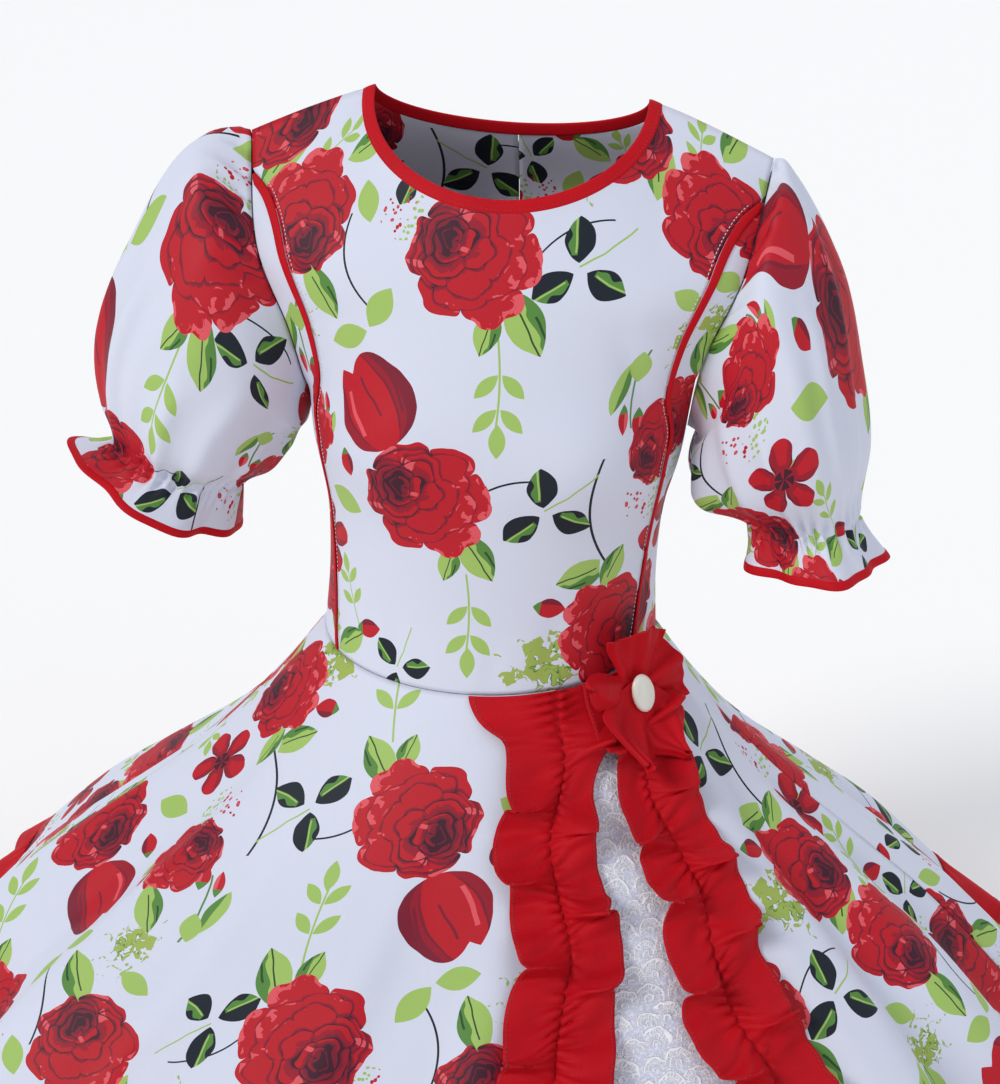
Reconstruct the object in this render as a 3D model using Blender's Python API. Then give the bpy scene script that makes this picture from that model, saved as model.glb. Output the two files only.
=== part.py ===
"""Cueca dress: a princess-line bodice with puffed elbow sleeves, and a very full skirt with a
gathered red hem and a lace slit between two red ruffles under a fabric bow.

The dress keeps its worn, hollow form. Metres, +Z up, the front faces -Y. The origin is on the
shoulder line, midway between the two neck points. Left and right are the wearer's: left is +X.
"""
import bpy
import bmesh
import numpy as np

# Cloth and seams
WALL = 0.0012
SEAM = 0.0004
SEAM_SHARE = 0.0010
TRIM_WALL = 0.0010
LIFT = 0.0003

# Bodice sizes
NECK_HALF = 0.100
NECK_DROP_FRONT = 0.065
NECK_OUT_FRONT = 0.075
NECK_DROP_BACK = 0.032
NECK_OUT_BACK = 0.062
SHOULDER_HALF = 0.1795
SHOULDER_DROP = 0.032
NECK_SHARE = 7 / 12
ARMPIT_AT = 0.46
PRINCESS_TOP = 0.94
PANEL_EDGE = 1 - 0.0012
SEAM_LEVELS = np.array([0, 0.09, 0.18, 0.27, 0.34, 0.40, 0.46, 0.56, 0.66, 0.76, 0.83, 0.87, 0.905])
LEAN = 0.04
WAIST_Z = -0.382
BUST_OUT = 0.012
BUST_X = 0.078
BUST_Z = -0.228
BUST_SPREAD = 0.042

# Trim sizes
BINDING_WIDE = 0.0075
BINDING_HALF = 0.0010
BINDING_GAP = 0.0010
RUFFLE_HALF = 0.038
RUFFLE_WAVES = 7
RUFFLE_RISE = 0.021
RUFFLE_LIFT = 0.0012
RUFFLE_APART = 0.0230
HEM_RUFFLE_LONG = 0.078
HEM_WAVES = 40
HEM_WAVE_RISE = 0.011
SKIRT_LONG = 0.42


def table(columns, *rows):
    """Rows of numbers under named columns, as one array for each column."""
    return dict(zip(columns.split(), np.array(rows, float).T))


# Section curves of the front and back, from the waist seam up to above the armhole's middle.
# z_mid is on the centre line, z_edge at the side seam or armhole, and edge is how far
# the armhole's edge stands from the side line.
FRONT = table(
    "at    z_mid   z_edge   half    depth  edge   wrap",
    (0.00, -0.401, -0.382, 0.1235, 0.098, 0.000, 90),
    (0.14, -0.348, -0.333, 0.1205, 0.094, 0.000, 90),
    (0.27, -0.292, -0.285, 0.1225, 0.099, 0.000, 90),
    (0.40, -0.238, -0.238, 0.1325, 0.109, 0.000, 90),
    (0.46, -0.213, -0.222, 0.1345, 0.111, 0.000, 90),
    (0.56, -0.175, -0.195, 0.1365, 0.108, 0.030, 70),
    (0.68, -0.138, -0.158, 0.1440, 0.102, 0.046, 62),
    (0.82, -0.098, -0.105, 0.1640, 0.091, 0.050, 58),
)
BACK = table(
    "at    z_mid   z_edge   half    depth  edge   wrap",
    (0.00, -0.382, -0.382, 0.1235, 0.088, 0.000, 90),
    (0.14, -0.333, -0.333, 0.1205, 0.083, 0.000, 90),
    (0.27, -0.285, -0.285, 0.1225, 0.085, 0.000, 90),
    (0.40, -0.238, -0.238, 0.1325, 0.093, 0.000, 90),
    (0.46, -0.213, -0.222, 0.1345, 0.096, 0.000, 90),
    (0.56, -0.175, -0.195, 0.1400, 0.099, 0.034, 72),
    (0.68, -0.132, -0.155, 0.1530, 0.101, 0.052, 64),
    (0.82, -0.084, -0.100, 0.1680, 0.094, 0.054, 58),
)
# The princess seam, as a share of the way from the centre to the side, and its piping's width.
PRINCESS = table(
    "at    share  piping",
    (0.00, 0.657, 0.0042),
    (0.14, 0.720, 0.0042),
    (0.27, 0.755, 0.0045),
    (0.42, 0.720, 0.0050),
    (0.56, 0.780, 0.0058),
    (0.68, 0.800, 0.0068),
    (0.80, 0.808, 0.0080),
    (0.86, 0.845, 0.0085),
    (0.90, 0.905, 0.0085),
    (0.94, 1.000, 0.0085),
)
# Sleeve sections below the armhole seam. A section's top or outer end leans out by tilt degrees
# from straight up, reach is its half height there, and depth its half size front to back.
SLEEVE_LEFT = table(
    "at    x      y       z       reach   depth  tilt  fold",
    (0.14, 0.161, 0.000, -0.139, 0.0975, 0.066, 16, 0.0015),
    (0.36, 0.178, -0.002, -0.175, 0.0780, 0.073, 37, 0.0030),
    (0.60, 0.188, -0.004, -0.222, 0.0680, 0.071, 54, 0.0035),
    (0.82, 0.198, -0.005, -0.260, 0.0580, 0.063, 70, 0.0035),
    (1.00, 0.211, -0.005, -0.291, 0.0385, 0.045, 88, 0.0010),
    (1.10, 0.215, -0.006, -0.303, 0.0405, 0.048, 88, 0.0030),
    (1.30, 0.222, -0.007, -0.325, 0.0480, 0.057, 88, 0.0055),
)
SLEEVE_RIGHT = table(
    "at    x      y       z       reach   depth  tilt  fold",
    (0.14, 0.182, 0.000, -0.131, 0.1050, 0.068, 18, 0.0015),
    (0.36, 0.210, -0.002, -0.171, 0.0866, 0.074, 39, 0.0030),
    (0.60, 0.229, -0.004, -0.209, 0.0760, 0.072, 55, 0.0035),
    (0.82, 0.237, -0.005, -0.243, 0.0615, 0.063, 65, 0.0035),
    (1.00, 0.245, -0.005, -0.2650, 0.0475, 0.046, 70, 0.0010),
    (1.10, 0.251, -0.006, -0.2720, 0.0530, 0.051, 66, 0.0030),
    (1.30, 0.264, -0.008, -0.2860, 0.0660, 0.062, 58, 0.0060),
)
SLEEVE_FOLDS = 9
FRILL_EDGE = 1.26
FRILL_END = 1.30

# The skirt's slope away from the waist seam, and where each part of the waist flares to.
SLOPE = table(
    "at    reach  drop",
    (0.00, 0.000, 0.000),
    (0.15, 0.036, 0.047),
    (0.35, 0.090, 0.105),
    (0.60, 0.168, 0.168),
    (0.80, 0.234, 0.222),
    (1.00, 0.300, 0.290),
)
FLARE = table(
    "turn   heading  spread",
    (-180, -180, 1.10),
    (-125, -134, 1.04),
    (-90, -106, 1.00),
    (-63, -83.5, 1.00),
    (-37, -58.5, 0.98),
    (-18, -34, 0.97),
    (0, 0, 0.96),
    (45, 42, 0.99),
    (90, 90, 1.04),
    (135, 138, 1.08),
    (180, 180, 1.10),
)
# Ridges that run down the skirt: heading and half width in degrees, height at the hem.
RIDGES = table(
    "heading  wide  height",
    (-168, 11, 0.020),
    (-145, 10, 0.022),
    (-118, 12, 0.018),
    (-40, 9, 0.022),
    (-18, 10, 0.020),
    (6, 10, 0.024),
    (30, 11, 0.020),
    (54, 12, 0.026),
    (80, 11, 0.020),
    (105, 12, 0.026),
    (131, 11, 0.022),
    (156, 11, 0.022),
)
SLIT_LEFT = -37.0
SLIT_RIGHT = -63.0
PANEL_GAP = 0.12
LACE_MARGIN = 7.0
SKIRT_LEVELS = np.array([0, 0.08, 0.18, 0.30, 0.45, 0.60, 0.80, 1.0])

# Bow lobes, in layers out from the waist: heading in degrees from the wearer's left, up positive.
BOW = table(
    "heading  long    wide    rise",
    (15, 0.043, 0.021, 0.0045),
    (75, 0.048, 0.018, 0.014),
    (163, 0.042, 0.019, 0.014),
    (-68, 0.055, 0.018, 0.029),
    (-138, 0.051, 0.019, 0.038),
)
BOW_NAMES = ("bow_wing_left", "bow_loop_left", "bow_loop_right", "bow_tail_left", "bow_tail_right")
BOW_LAYER = TRIM_WALL + 0.0005
BOW_FLAT = 0.35
BOW_PLEAT = 0.0003
BOW_GATHER = 0.007
BOW_GATHER_LIFT = 0.0031
BOW_TURN = -36.0
BOW_AT = 0.045
BOW_BASE = 0.0085
BUTTON_HALF = (0.0098, 0.0138)
BUTTON_HIGH = 0.0045

COLOURS = {
    "floral": ((0.72, 0.74, 0.82), 0.6),
    "red": ((0.52, 0.01, 0.02), 0.55),
    "lace": ((0.80, 0.80, 0.84), 0.5),
    "lining": ((0.60, 0.60, 0.70), 0.4),
    "button": ((0.76, 0.75, 0.68), 0.3),
    "zip": ((0.72, 0.73, 0.76), 0.4),
}


def smooth_tangents(knots, values):
    """Slopes for a smooth curve through values, whose first axis runs along the knots."""
    step = np.diff(knots).reshape(-1, *[1] * (values.ndim - 1))
    slope = np.diff(values, axis=0) / step
    middle = (slope[1:] * step[:-1] + slope[:-1] * step[1:]) / (step[1:] + step[:-1])
    return np.concatenate([slope[:1], middle, slope[-1:]])


def loft(knots, sections, at):
    """Points at `at` on smooth curves through sections, one for each knot on the first axis."""
    index = np.clip(np.searchsorted(knots, at, side="right") - 1, 0, len(knots) - 2)
    tangents = smooth_tangents(knots, sections)

    def pick(values, where):
        shape = where.reshape(1, *where.shape, *[1] * (values.ndim - 1 - where.ndim))
        shape = np.broadcast_to(shape, (1, *values.shape[1:]))
        return np.take_along_axis(values, shape, 0)[0]

    width = knots[index + 1] - knots[index]
    t = (at - knots[index]) / width
    tail = [1] * (sections.ndim - 1 - t.ndim)
    t = t.reshape(*t.shape, *tail)
    width = width.reshape(*width.shape, *tail)
    start = pick(sections, index)
    end = pick(sections, index + 1)
    return (
        (2 * t**3 - 3 * t**2 + 1) * start
        + (t**3 - 2 * t**2 + t) * width * pick(tangents, index)
        + (3 * t**2 - 2 * t**3) * end
        + (t**3 - t**2) * width * pick(tangents, index + 1)
    )


def read(rows, column, at, key="at"):
    """The smooth curve through one column of a table, read along its first column."""
    at = np.asarray(at, float)
    columns = rows[column].reshape(-1, *[1] * at.ndim)
    sections = np.broadcast_to(columns, (len(rows[key]), *at.shape))
    return loft(rows[key], sections, at)


def ramp(value, start, end):
    """Soft step from 0 at start to 1 at end."""
    t = np.clip((value - start) / (end - start), 0, 1)
    return t * t * (3 - 2 * t)


def leaned(point):
    """The bodice's slight lean to the wearer's left, about the neck, fading out at the waist."""
    x = point[..., 0]
    z = point[..., 2]
    fade = np.clip((z - WAIST_Z) / 0.1, 0, 1)
    above = np.maximum(z, WAIST_Z)
    return np.stack([x + LEAN * above, point[..., 1], z - LEAN * x * fade], -1)


def top_edge(facing, u):
    """Shoulder seams and the neckline between them, as the top section curve."""
    drop, out = (NECK_DROP_FRONT, NECK_OUT_FRONT) if facing < 0 else (NECK_DROP_BACK, NECK_OUT_BACK)
    side = np.sign(u)
    swing = np.clip(u / NECK_SHARE, -1, 1) * np.pi / 2
    along = np.clip((abs(u) - NECK_SHARE) / (1 - NECK_SHARE), 0, 1)
    x = NECK_HALF * np.sin(swing) + side * along * (SHOULDER_HALF - NECK_HALF)
    y = facing * out * np.cos(swing)
    z = -drop * np.cos(swing) - SHOULDER_DROP * along**1.15
    return np.stack([x, y, z], -1)


def bodice(facing, u, v):
    """Outer surface of the front (facing -1) or back (+1): u across, v up from the waist."""
    rows = FRONT if facing < 0 else BACK
    column = {name: values.reshape(-1, *[1] * u.ndim) for name, values in rows.items()}
    wrap = np.radians(column["wrap"])
    middle = (np.cos(u * wrap) - np.cos(wrap)) / (1 - np.cos(wrap))
    x = column["half"] * np.sin(u * wrap) / np.sin(wrap)
    y = facing * (column["edge"] + (column["depth"] - column["edge"]) * middle)
    z = column["z_edge"] + (column["z_mid"] - column["z_edge"]) * middle
    sections = np.concatenate([np.stack([x, y, z], -1), top_edge(facing, u)[None]])
    point = loft(np.append(rows["at"], 1.0), sections, v)
    if facing < 0:
        across = (abs(point[..., 0]) - BUST_X) / BUST_SPREAD
        upward = (point[..., 2] - BUST_Z) / BUST_SPREAD
        point[..., 1] -= BUST_OUT * np.exp(-(across**2) - upward**2)
    return leaned(point)


def bodice_shell(facing, u, v, depth):
    """The bodice surface moved in by depth. Front and back share one normal at the shoulder."""
    step = 1e-3
    across = bodice(facing, u + step, v) - bodice(facing, u - step, v)
    upward = bodice(facing, u, np.minimum(v + step, 1)) - bodice(facing, u, v - step)
    normal = np.cross(across, upward) * -facing
    normal /= np.linalg.norm(normal, axis=-1, keepdims=True)
    seam = ramp(v, 0.90, 0.995) * (abs(u) > NECK_SHARE - 0.02)
    normal[..., 1] *= 1 - seam
    normal /= np.linalg.norm(normal, axis=-1, keepdims=True)
    return bodice(facing, u, v) - normal * depth


def frame_normal(surface, a, b):
    """Unit normal of a surface of two parameters, from small steps along both."""
    step = 1e-4
    along_a = surface(a + step, b) - surface(a - step, b)
    along_b = surface(a, b + step) - surface(a, b - step)
    normal = np.cross(along_a, along_b)
    return normal / np.linalg.norm(normal, axis=-1, keepdims=True)


def armhole(side, turn):
    """The armhole's edge: turn is 0 at the shoulder, 90 in front, 180 under the arm."""
    down = np.clip(1 - abs(turn - 180) / 180, 0, 1)
    v = 1 - (1 - ARMPIT_AT) * down
    edge = np.full_like(turn, side)
    front = bodice(-1, edge, v)
    back = bodice(1, edge, v)
    return np.where((turn <= 180)[..., None], front, back)


def sleeve(side, rows, turn, t):
    """Outer surface of a sleeve: turn round it in degrees, t from the armhole to the frill."""
    column = {name: values.reshape(-1, *[1] * turn.ndim) for name, values in rows.items()}
    angle = np.radians(turn)
    tilt = np.radians(column["tilt"])
    wave = column["fold"] * np.cos(SLEEVE_FOLDS * angle + 0.7 * side)
    reach = (column["reach"] + wave) * np.cos(angle)
    x = side * (column["x"] + reach * np.sin(tilt))
    y = column["y"] - (column["depth"] + wave) * np.sin(angle)
    z = column["z"] + reach * np.cos(tilt)
    start = armhole(side, turn % 360) + np.array([side * 0.0007, 0, 0])
    sections = np.concatenate([start[None], np.stack([x, y, z], -1)])
    return loft(np.append(0.0, rows["at"]), sections, t)


def waist(turn):
    """The waist seam: turn is 0 at the wearer's left, 90 at the back, -90 in front."""
    angle = np.radians(turn)
    front = np.sin(angle) < 0
    depth = np.where(front, FRONT["depth"][0], BACK["depth"][0])
    low = np.where(front, FRONT["z_mid"][0] - WAIST_Z, 0.0)
    x = FRONT["half"][0] * np.cos(angle) + LEAN * WAIST_Z
    return np.stack([x, depth * np.sin(angle), WAIST_Z + low * abs(np.sin(angle))], -1)


def skirt(turn, s):
    """Outer surface of the skirt: turn along the waist seam, s from the waist to the hem."""
    heading = read(FLARE, "heading", turn, "turn")
    spread = read(FLARE, "spread", turn, "turn")
    away = (heading[..., None] - RIDGES["heading"] + 180) % 360 - 180
    bump = RIDGES["height"] * np.exp(-((away / (RIDGES["wide"] * 0.62)) ** 2))
    fold = (bump.sum(-1) - 0.010) * np.clip(s, 0, 1.3) ** 1.4
    reach = read(SLOPE, "reach", s) * spread + 0.7 * fold
    drop = read(SLOPE, "drop", s) - 0.7 * fold
    angle = np.radians(heading)
    out = np.stack([reach * np.cos(angle), reach * np.sin(angle), -drop - SEAM], -1)
    return waist(turn) + out


def skirt_shell(turn, s, lift):
    """The skirt surface moved out along its normal by lift."""
    step = np.array([0.05, 1e-3])
    across = skirt(turn + step[0], s) - skirt(turn - step[0], s)
    down = skirt(turn, s + step[1]) - skirt(turn, s - step[1])
    normal = np.cross(down, across)
    normal /= np.linalg.norm(normal, axis=-1, keepdims=True)
    return skirt(turn, s) + normal * np.asarray(lift)[..., None]


def material(slot):
    """A plain finish for one kind of cloth or trim."""
    found = bpy.data.materials.get(slot)
    if found:
        return found
    colour, roughness = COLOURS[slot]
    made = bpy.data.materials.new(slot)
    made.use_nodes = True
    shader = made.node_tree.nodes["Principled BSDF"]
    shader.inputs["Base Color"].default_value = (*colour, 1)
    shader.inputs["Roughness"].default_value = roughness
    return made


def wall(name, slot, top, bottom, loop=False):
    """A closed cloth wall between two grids of points. A loop joins its last column to its first."""
    rows, columns = top.shape[:2]
    points = np.concatenate([top.reshape(-1, 3), bottom.reshape(-1, 3)])
    last = columns if loop else columns - 1
    under = rows * columns
    faces = []
    for row in range(rows - 1):
        for column in range(last):
            a = row * columns + column
            b = row * columns + (column + 1) % columns
            c = b + columns
            d = a + columns
            faces += [(a, b, c), (a, c, d)]
            faces += [(a + under, c + under, b + under), (a + under, d + under, c + under)]
    for row, turned in ((0, True), (rows - 1, False)):
        for column in range(last):
            a = row * columns + column
            b = row * columns + (column + 1) % columns
            rim = (a, b, b + under, a + under)
            faces.append(rim[::-1] if turned else rim)
    if not loop:
        for column, turned in ((0, False), (columns - 1, True)):
            for row in range(rows - 1):
                a = row * columns + column
                rim = (a, a + columns, a + columns + under, a + under)
                faces.append(rim[::-1] if turned else rim)
    return solid(name, slot, points, faces)


def solid(name, slot, points, faces):
    """One named object from points and faces, its faces turned outwards."""
    mesh = bpy.data.meshes.new(name)
    mesh.from_pydata([tuple(p) for p in points], [], faces)
    shape = bmesh.new()
    shape.from_mesh(mesh)
    bmesh.ops.recalc_face_normals(shape, faces=shape.faces)
    shape.to_mesh(mesh)
    shape.free()
    mesh.shade_smooth()
    mesh.materials.append(material(slot))
    made = bpy.data.objects.new(name, mesh)
    bpy.context.scene.collection.objects.link(made)
    return made


def strip(left, right, levels, columns):
    """Grids of both parameters, between a left and a right edge at each level."""
    across = np.linspace(0, 1, columns)
    left = np.broadcast_to(left, levels.shape)
    right = np.broadcast_to(right, levels.shape)
    u = left[:, None] + (right - left)[:, None] * across
    return u, np.broadcast_to(levels[:, None], u.shape).copy()


def side_front(side):
    """Grid of a side front. Its first two columns are the edges of the piping that lies on it."""
    seam = read(PRINCESS, "share", SEAM_LEVELS) + SEAM_SHARE
    piped = np.minimum(seam + read(PRINCESS, "piping", SEAM_LEVELS) / 0.185, PANEL_EDGE - 0.006)
    rest = piped[:, None] + (PANEL_EDGE - piped)[:, None] * np.linspace(0, 1, 4)
    u = side * np.concatenate([seam[:, None], rest], 1)
    return u, np.broadcast_to(SEAM_LEVELS[:, None], u.shape).copy()


def make_bodice():
    """Front centre, two side fronts and two backs, cut at the princess, side and back seams."""
    edge = PANEL_EDGE
    top = 1 - SEAM_SHARE
    levels = np.append(SEAM_LEVELS, [PRINCESS_TOP, top])
    seam = np.minimum(read(PRINCESS, "share", np.minimum(levels, PRINCESS_TOP)), edge)
    seam = np.where(levels >= PRINCESS_TOP, edge, seam - SEAM_SHARE)
    u, v = strip(-seam, seam, levels, 25)
    wall("front_centre", "floral", bodice_shell(-1, u, v, 0), bodice_shell(-1, u, v, WALL))

    for side, name in ((1, "left"), (-1, "right")):
        u, v = side_front(side)
        wall("front_side_" + name, "floral", bodice_shell(-1, u, v, 0), bodice_shell(-1, u, v, WALL))

    levels = np.array([0, 0.14, 0.27, 0.38, 0.46, 0.56, 0.66, 0.76, 0.86, 0.93, top])
    for side, name in ((1, "left"), (-1, "right")):
        u, v = strip(side * SEAM_SHARE, side * edge, levels, 13)
        wall("back_" + name, "floral", bodice_shell(1, u, v, 0), bodice_shell(1, u, v, WALL))


def make_piping():
    """Flat red piping that lies on the side front along each princess seam."""
    for side, name in ((1, "left"), (-1, "right")):
        u, v = side_front(side)
        u, v = u[:, :2], v[:, :2]
        top = bodice_shell(-1, u, v, -LIFT - TRIM_WALL)
        wall("piping_" + name, "red", top, bodice_shell(-1, u, v, -LIFT))


def make_neck_binding():
    """Red binding round the neckline, a band that carries the cloth's edge on inwards."""
    count = 15
    swing = np.linspace(-1, 1, count)
    front = bodice(-1, swing * NECK_SHARE, np.ones(count))
    back = bodice(1, swing[::-1] * NECK_SHARE, np.ones(count))
    edge = np.concatenate([front[:-1], back[:-1]])
    phase = np.concatenate([swing[:-1], swing[::-1][:-1]]) * np.pi / 2
    facing = np.concatenate([np.full(count - 1, -1.0), np.full(count - 1, 1.0)])
    middle = np.cos(phase)
    side = np.sin(phase)
    back_in = np.where(facing < 0, 0.45, 0.30) * middle
    inward = np.stack([-0.93 * side, -facing * back_in, 0.37 * abs(side) + 0.9 * middle], -1)
    inward /= np.linalg.norm(inward, axis=-1, keepdims=True)
    along = np.roll(edge, -1, 0) - np.roll(edge, 1, 0)
    normal = np.cross(along, inward)
    normal /= np.linalg.norm(normal, axis=-1, keepdims=True)
    middle = BINDING_GAP + BINDING_WIDE / 2
    end = BINDING_GAP + BINDING_WIDE
    section = (
        (BINDING_GAP, 0.7), (middle, 1.1), (end, 0.6),
        (end, -0.6), (middle, -1.1), (BINDING_GAP, -0.7),
    )
    rings = [edge + inward * a + normal * (b * BINDING_HALF - WALL / 2) for a, b in section]
    tube("neck_binding", "red", np.array(rings))


def tube(name, slot, rings):
    """A closed ring whose section is given as one loop of points for each corner."""
    corners, count = rings.shape[:2]
    faces = []
    for corner in range(corners):
        after = (corner + 1) % corners
        for place in range(count):
            following = (place + 1) % count
            faces.append((
                corner * count + place, corner * count + following,
                after * count + following, after * count + place,
            ))
    solid(name, slot, rings.reshape(-1, 3), faces)


def make_sleeves():
    """Puffed sleeves with an elastic line above the frill, and the red binding of each frill."""
    levels = np.array([0, 0.07, 0.14, 0.25, 0.36, 0.48, 0.60, 0.72, 0.82, 0.92, 1.0, 1.08, FRILL_EDGE])
    turns = np.arange(36) * 10.0
    for side, rows, name in ((1, SLEEVE_LEFT, "left"), (-1, SLEEVE_RIGHT, "right")):
        def surface(turn, t, side=side, rows=rows):
            return sleeve(side, rows, turn * 360, t)

        t, turn = np.meshgrid(levels, turns / 360, indexing="ij")
        normal = sleeve_normal(surface, turn, t, side)
        outer = surface(turn, t)
        wall("sleeve_" + name, "floral", outer, outer - normal * WALL, loop=True)
        t, turn = np.meshgrid((FRILL_EDGE + 0.006, FRILL_END), turns / 360, indexing="ij")
        normal = sleeve_normal(surface, turn, t, side)
        outer = surface(turn, t) + normal * (BINDING_HALF - WALL / 2)
        wall("cuff_binding_" + name, "red", outer, outer - normal * 2 * BINDING_HALF, loop=True)


def sleeve_normal(surface, turn, t, side):
    """Outward normal of a sleeve, read just inside its two ends."""
    inside = np.clip(t, 0.01, FRILL_END - 0.001)
    return frame_normal(surface, turn, inside) * side


def skirt_turns():
    """Where each skirt panel and the lace inset have their columns, as turns along the waist."""
    lap = LACE_MARGIN * np.array([0.0, 0.5, 1.0])
    beside = 4 * np.array([1, 2])
    right = SLIT_RIGHT - np.concatenate([lap, LACE_MARGIN + beside])[::-1]
    left = SLIT_LEFT + np.concatenate([lap, LACE_MARGIN + beside])
    return {
        "front_left": np.concatenate([left, np.linspace(left[-1], -PANEL_GAP, 7)[1:]]),
        "front_right": np.concatenate([np.linspace(-180 + PANEL_GAP, right[0], 20)[:-1], right]),
        "back_left": np.linspace(PANEL_GAP, 90 - PANEL_GAP, 21),
        "back_right": np.linspace(90 + PANEL_GAP, 180 - PANEL_GAP, 21),
        "lace": np.concatenate([
            SLIT_RIGHT - lap[::-1], np.linspace(SLIT_RIGHT, SLIT_LEFT, 7)[1:-1], SLIT_LEFT + lap,
        ]),
    }


def make_skirt():
    """Four flared panels, two fronts that part at the slit and two backs, and the slit's inset:
    lace with its lining behind, under the edges of the slit."""
    turns = skirt_turns()
    for name in ("front_left", "front_right", "back_left", "back_right"):
        s, turn = np.meshgrid(SKIRT_LEVELS, turns[name], indexing="ij")
        wall("skirt_" + name, "floral", skirt_shell(turn, s, 0), skirt_shell(turn, s, -WALL))
    s, turn = np.meshgrid(SKIRT_LEVELS[1:], turns["lace"], indexing="ij")
    below = -WALL - LIFT
    for name, slot in (("slit_lace", "lace"), ("slit_lining", "lining")):
        top = skirt_shell(turn, s, below)
        wall(name, slot, top, skirt_shell(turn, s, below - TRIM_WALL))
        below -= TRIM_WALL + LIFT


def hem_ruffle(turn, w):
    """The hem ruffle: it carries the skirt on past the hem, and its waves grow outwards."""
    heading = read(FLARE, "heading", turn, "turn")
    wave = HEM_WAVE_RISE * np.cos(np.radians(HEM_WAVES * heading)) * (0.12 + 0.88 * w)
    length = HEM_RUFFLE_LONG / SKIRT_LONG
    edge = skirt(turn, np.ones_like(w))
    step = 1e-3
    down = (edge - skirt(turn, np.full_like(w, 1 - step))) / step
    across = skirt(turn + 0.05, np.ones_like(w)) - skirt(turn - 0.05, np.ones_like(w))
    normal = np.cross(down, across)
    normal /= np.linalg.norm(normal, axis=-1, keepdims=True)
    reach = (0.0009 + w * length)[..., None] * down
    return edge + reach + normal * wave[..., None]


def make_hem_ruffle():
    """Five lengths of gathered red ruffle, seamed where the skirt panels and the lace are."""
    for name, start, end in (
        ("front_left", SLIT_LEFT + PANEL_GAP, -PANEL_GAP),
        ("front_right", -180 + PANEL_GAP, SLIT_RIGHT - PANEL_GAP),
        ("back_left", PANEL_GAP, 90 - PANEL_GAP),
        ("back_right", 90 + PANEL_GAP, 180 - PANEL_GAP),
        ("slit", SLIT_RIGHT + PANEL_GAP, SLIT_LEFT - PANEL_GAP),
    ):
        span = read(FLARE, "heading", np.array([start, end]), "turn")
        columns = int(round((span[1] - span[0]) / 360 * HEM_WAVES * 5)) + 1
        turn, w = strip(start, end, np.array([0.0, 0.5, 1.0]), columns)
        normal = frame_normal(lambda a, b: hem_ruffle(a * 30, b), turn / 30, w)
        outer = hem_ruffle(turn, w)
        wall("hem_ruffle_" + name, "red", outer, outer + normal * WALL)


def slit_ruffle(turn, phase, s, w):
    """A ruffle gathered on its centre line along the slit's edge: its edges lift in waves."""
    width = RUFFLE_HALF * (0.80 + 0.20 * np.cos(5.0 * s + phase) ** 2)
    centre = np.full_like(s, turn)
    apart = np.linalg.norm(skirt(centre * 0 + SLIT_LEFT, s) - skirt(centre * 0 + SLIT_RIGHT, s), axis=-1)
    inner = w * (SLIT_LEFT + SLIT_RIGHT - 2 * turn) > 0
    width = np.where(inner, np.minimum(width, (apart - RUFFLE_APART) / 2), width)
    pace = np.linalg.norm(skirt(centre + 0.5, s) - skirt(centre - 0.5, s), axis=-1)
    uneven = 0.8 * np.sin(9.0 * s + 2 * phase) + np.where(w > 0, 1.1, 0.0)
    wave = 2 * np.pi * RUFFLE_WAVES * s + phase + uneven
    sway = 0.010 * np.sin(wave) * abs(w)
    rise = RUFFLE_RISE * (0.11 + 0.89 * ramp(s, 0.16, 0.34))
    lift = RUFFLE_LIFT + rise * abs(w) ** 1.3 * (0.5 + 0.5 * np.cos(wave))
    return skirt_shell(centre + (w * width + sway) / pace, s, lift)


def make_slit_ruffles():
    """The two red ruffles that edge the slit."""
    across = np.array([-1, -0.6, 0, 0.6, 1])
    for name, turn, phase, start in (("left", SLIT_LEFT, 0.0, 0.03), ("right", SLIT_RIGHT, 1.9, 0.010)):
        s, w = np.meshgrid(np.linspace(start, 0.99, RUFFLE_WAVES * 9), across, indexing="ij")

        def surface(a, b, turn=turn, phase=phase):
            return slit_ruffle(turn, phase, a, b)

        under = surface(s, w)
        normal = frame_normal(surface, s, w)
        wall("slit_ruffle_" + name, "red", under + normal * TRIM_WALL, under)


def bow_frame():
    """Origin and axes of the bow at the waist: to the wearer's left, up, and out of the cloth."""
    turn = np.array([BOW_TURN])
    s = np.array([BOW_AT])
    centre = skirt(turn, s)[0]
    left = (skirt(turn + 1, s) - skirt(turn - 1, s))[0]
    left /= np.linalg.norm(left)
    out = (skirt_shell(turn, s, 1.0) - skirt(turn, s))[0]
    out += np.array([0, 0, -0.35])
    out -= left * np.dot(out, left)
    out /= np.linalg.norm(out)
    up = np.cross(out, left)
    return centre, left, up, out


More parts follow.
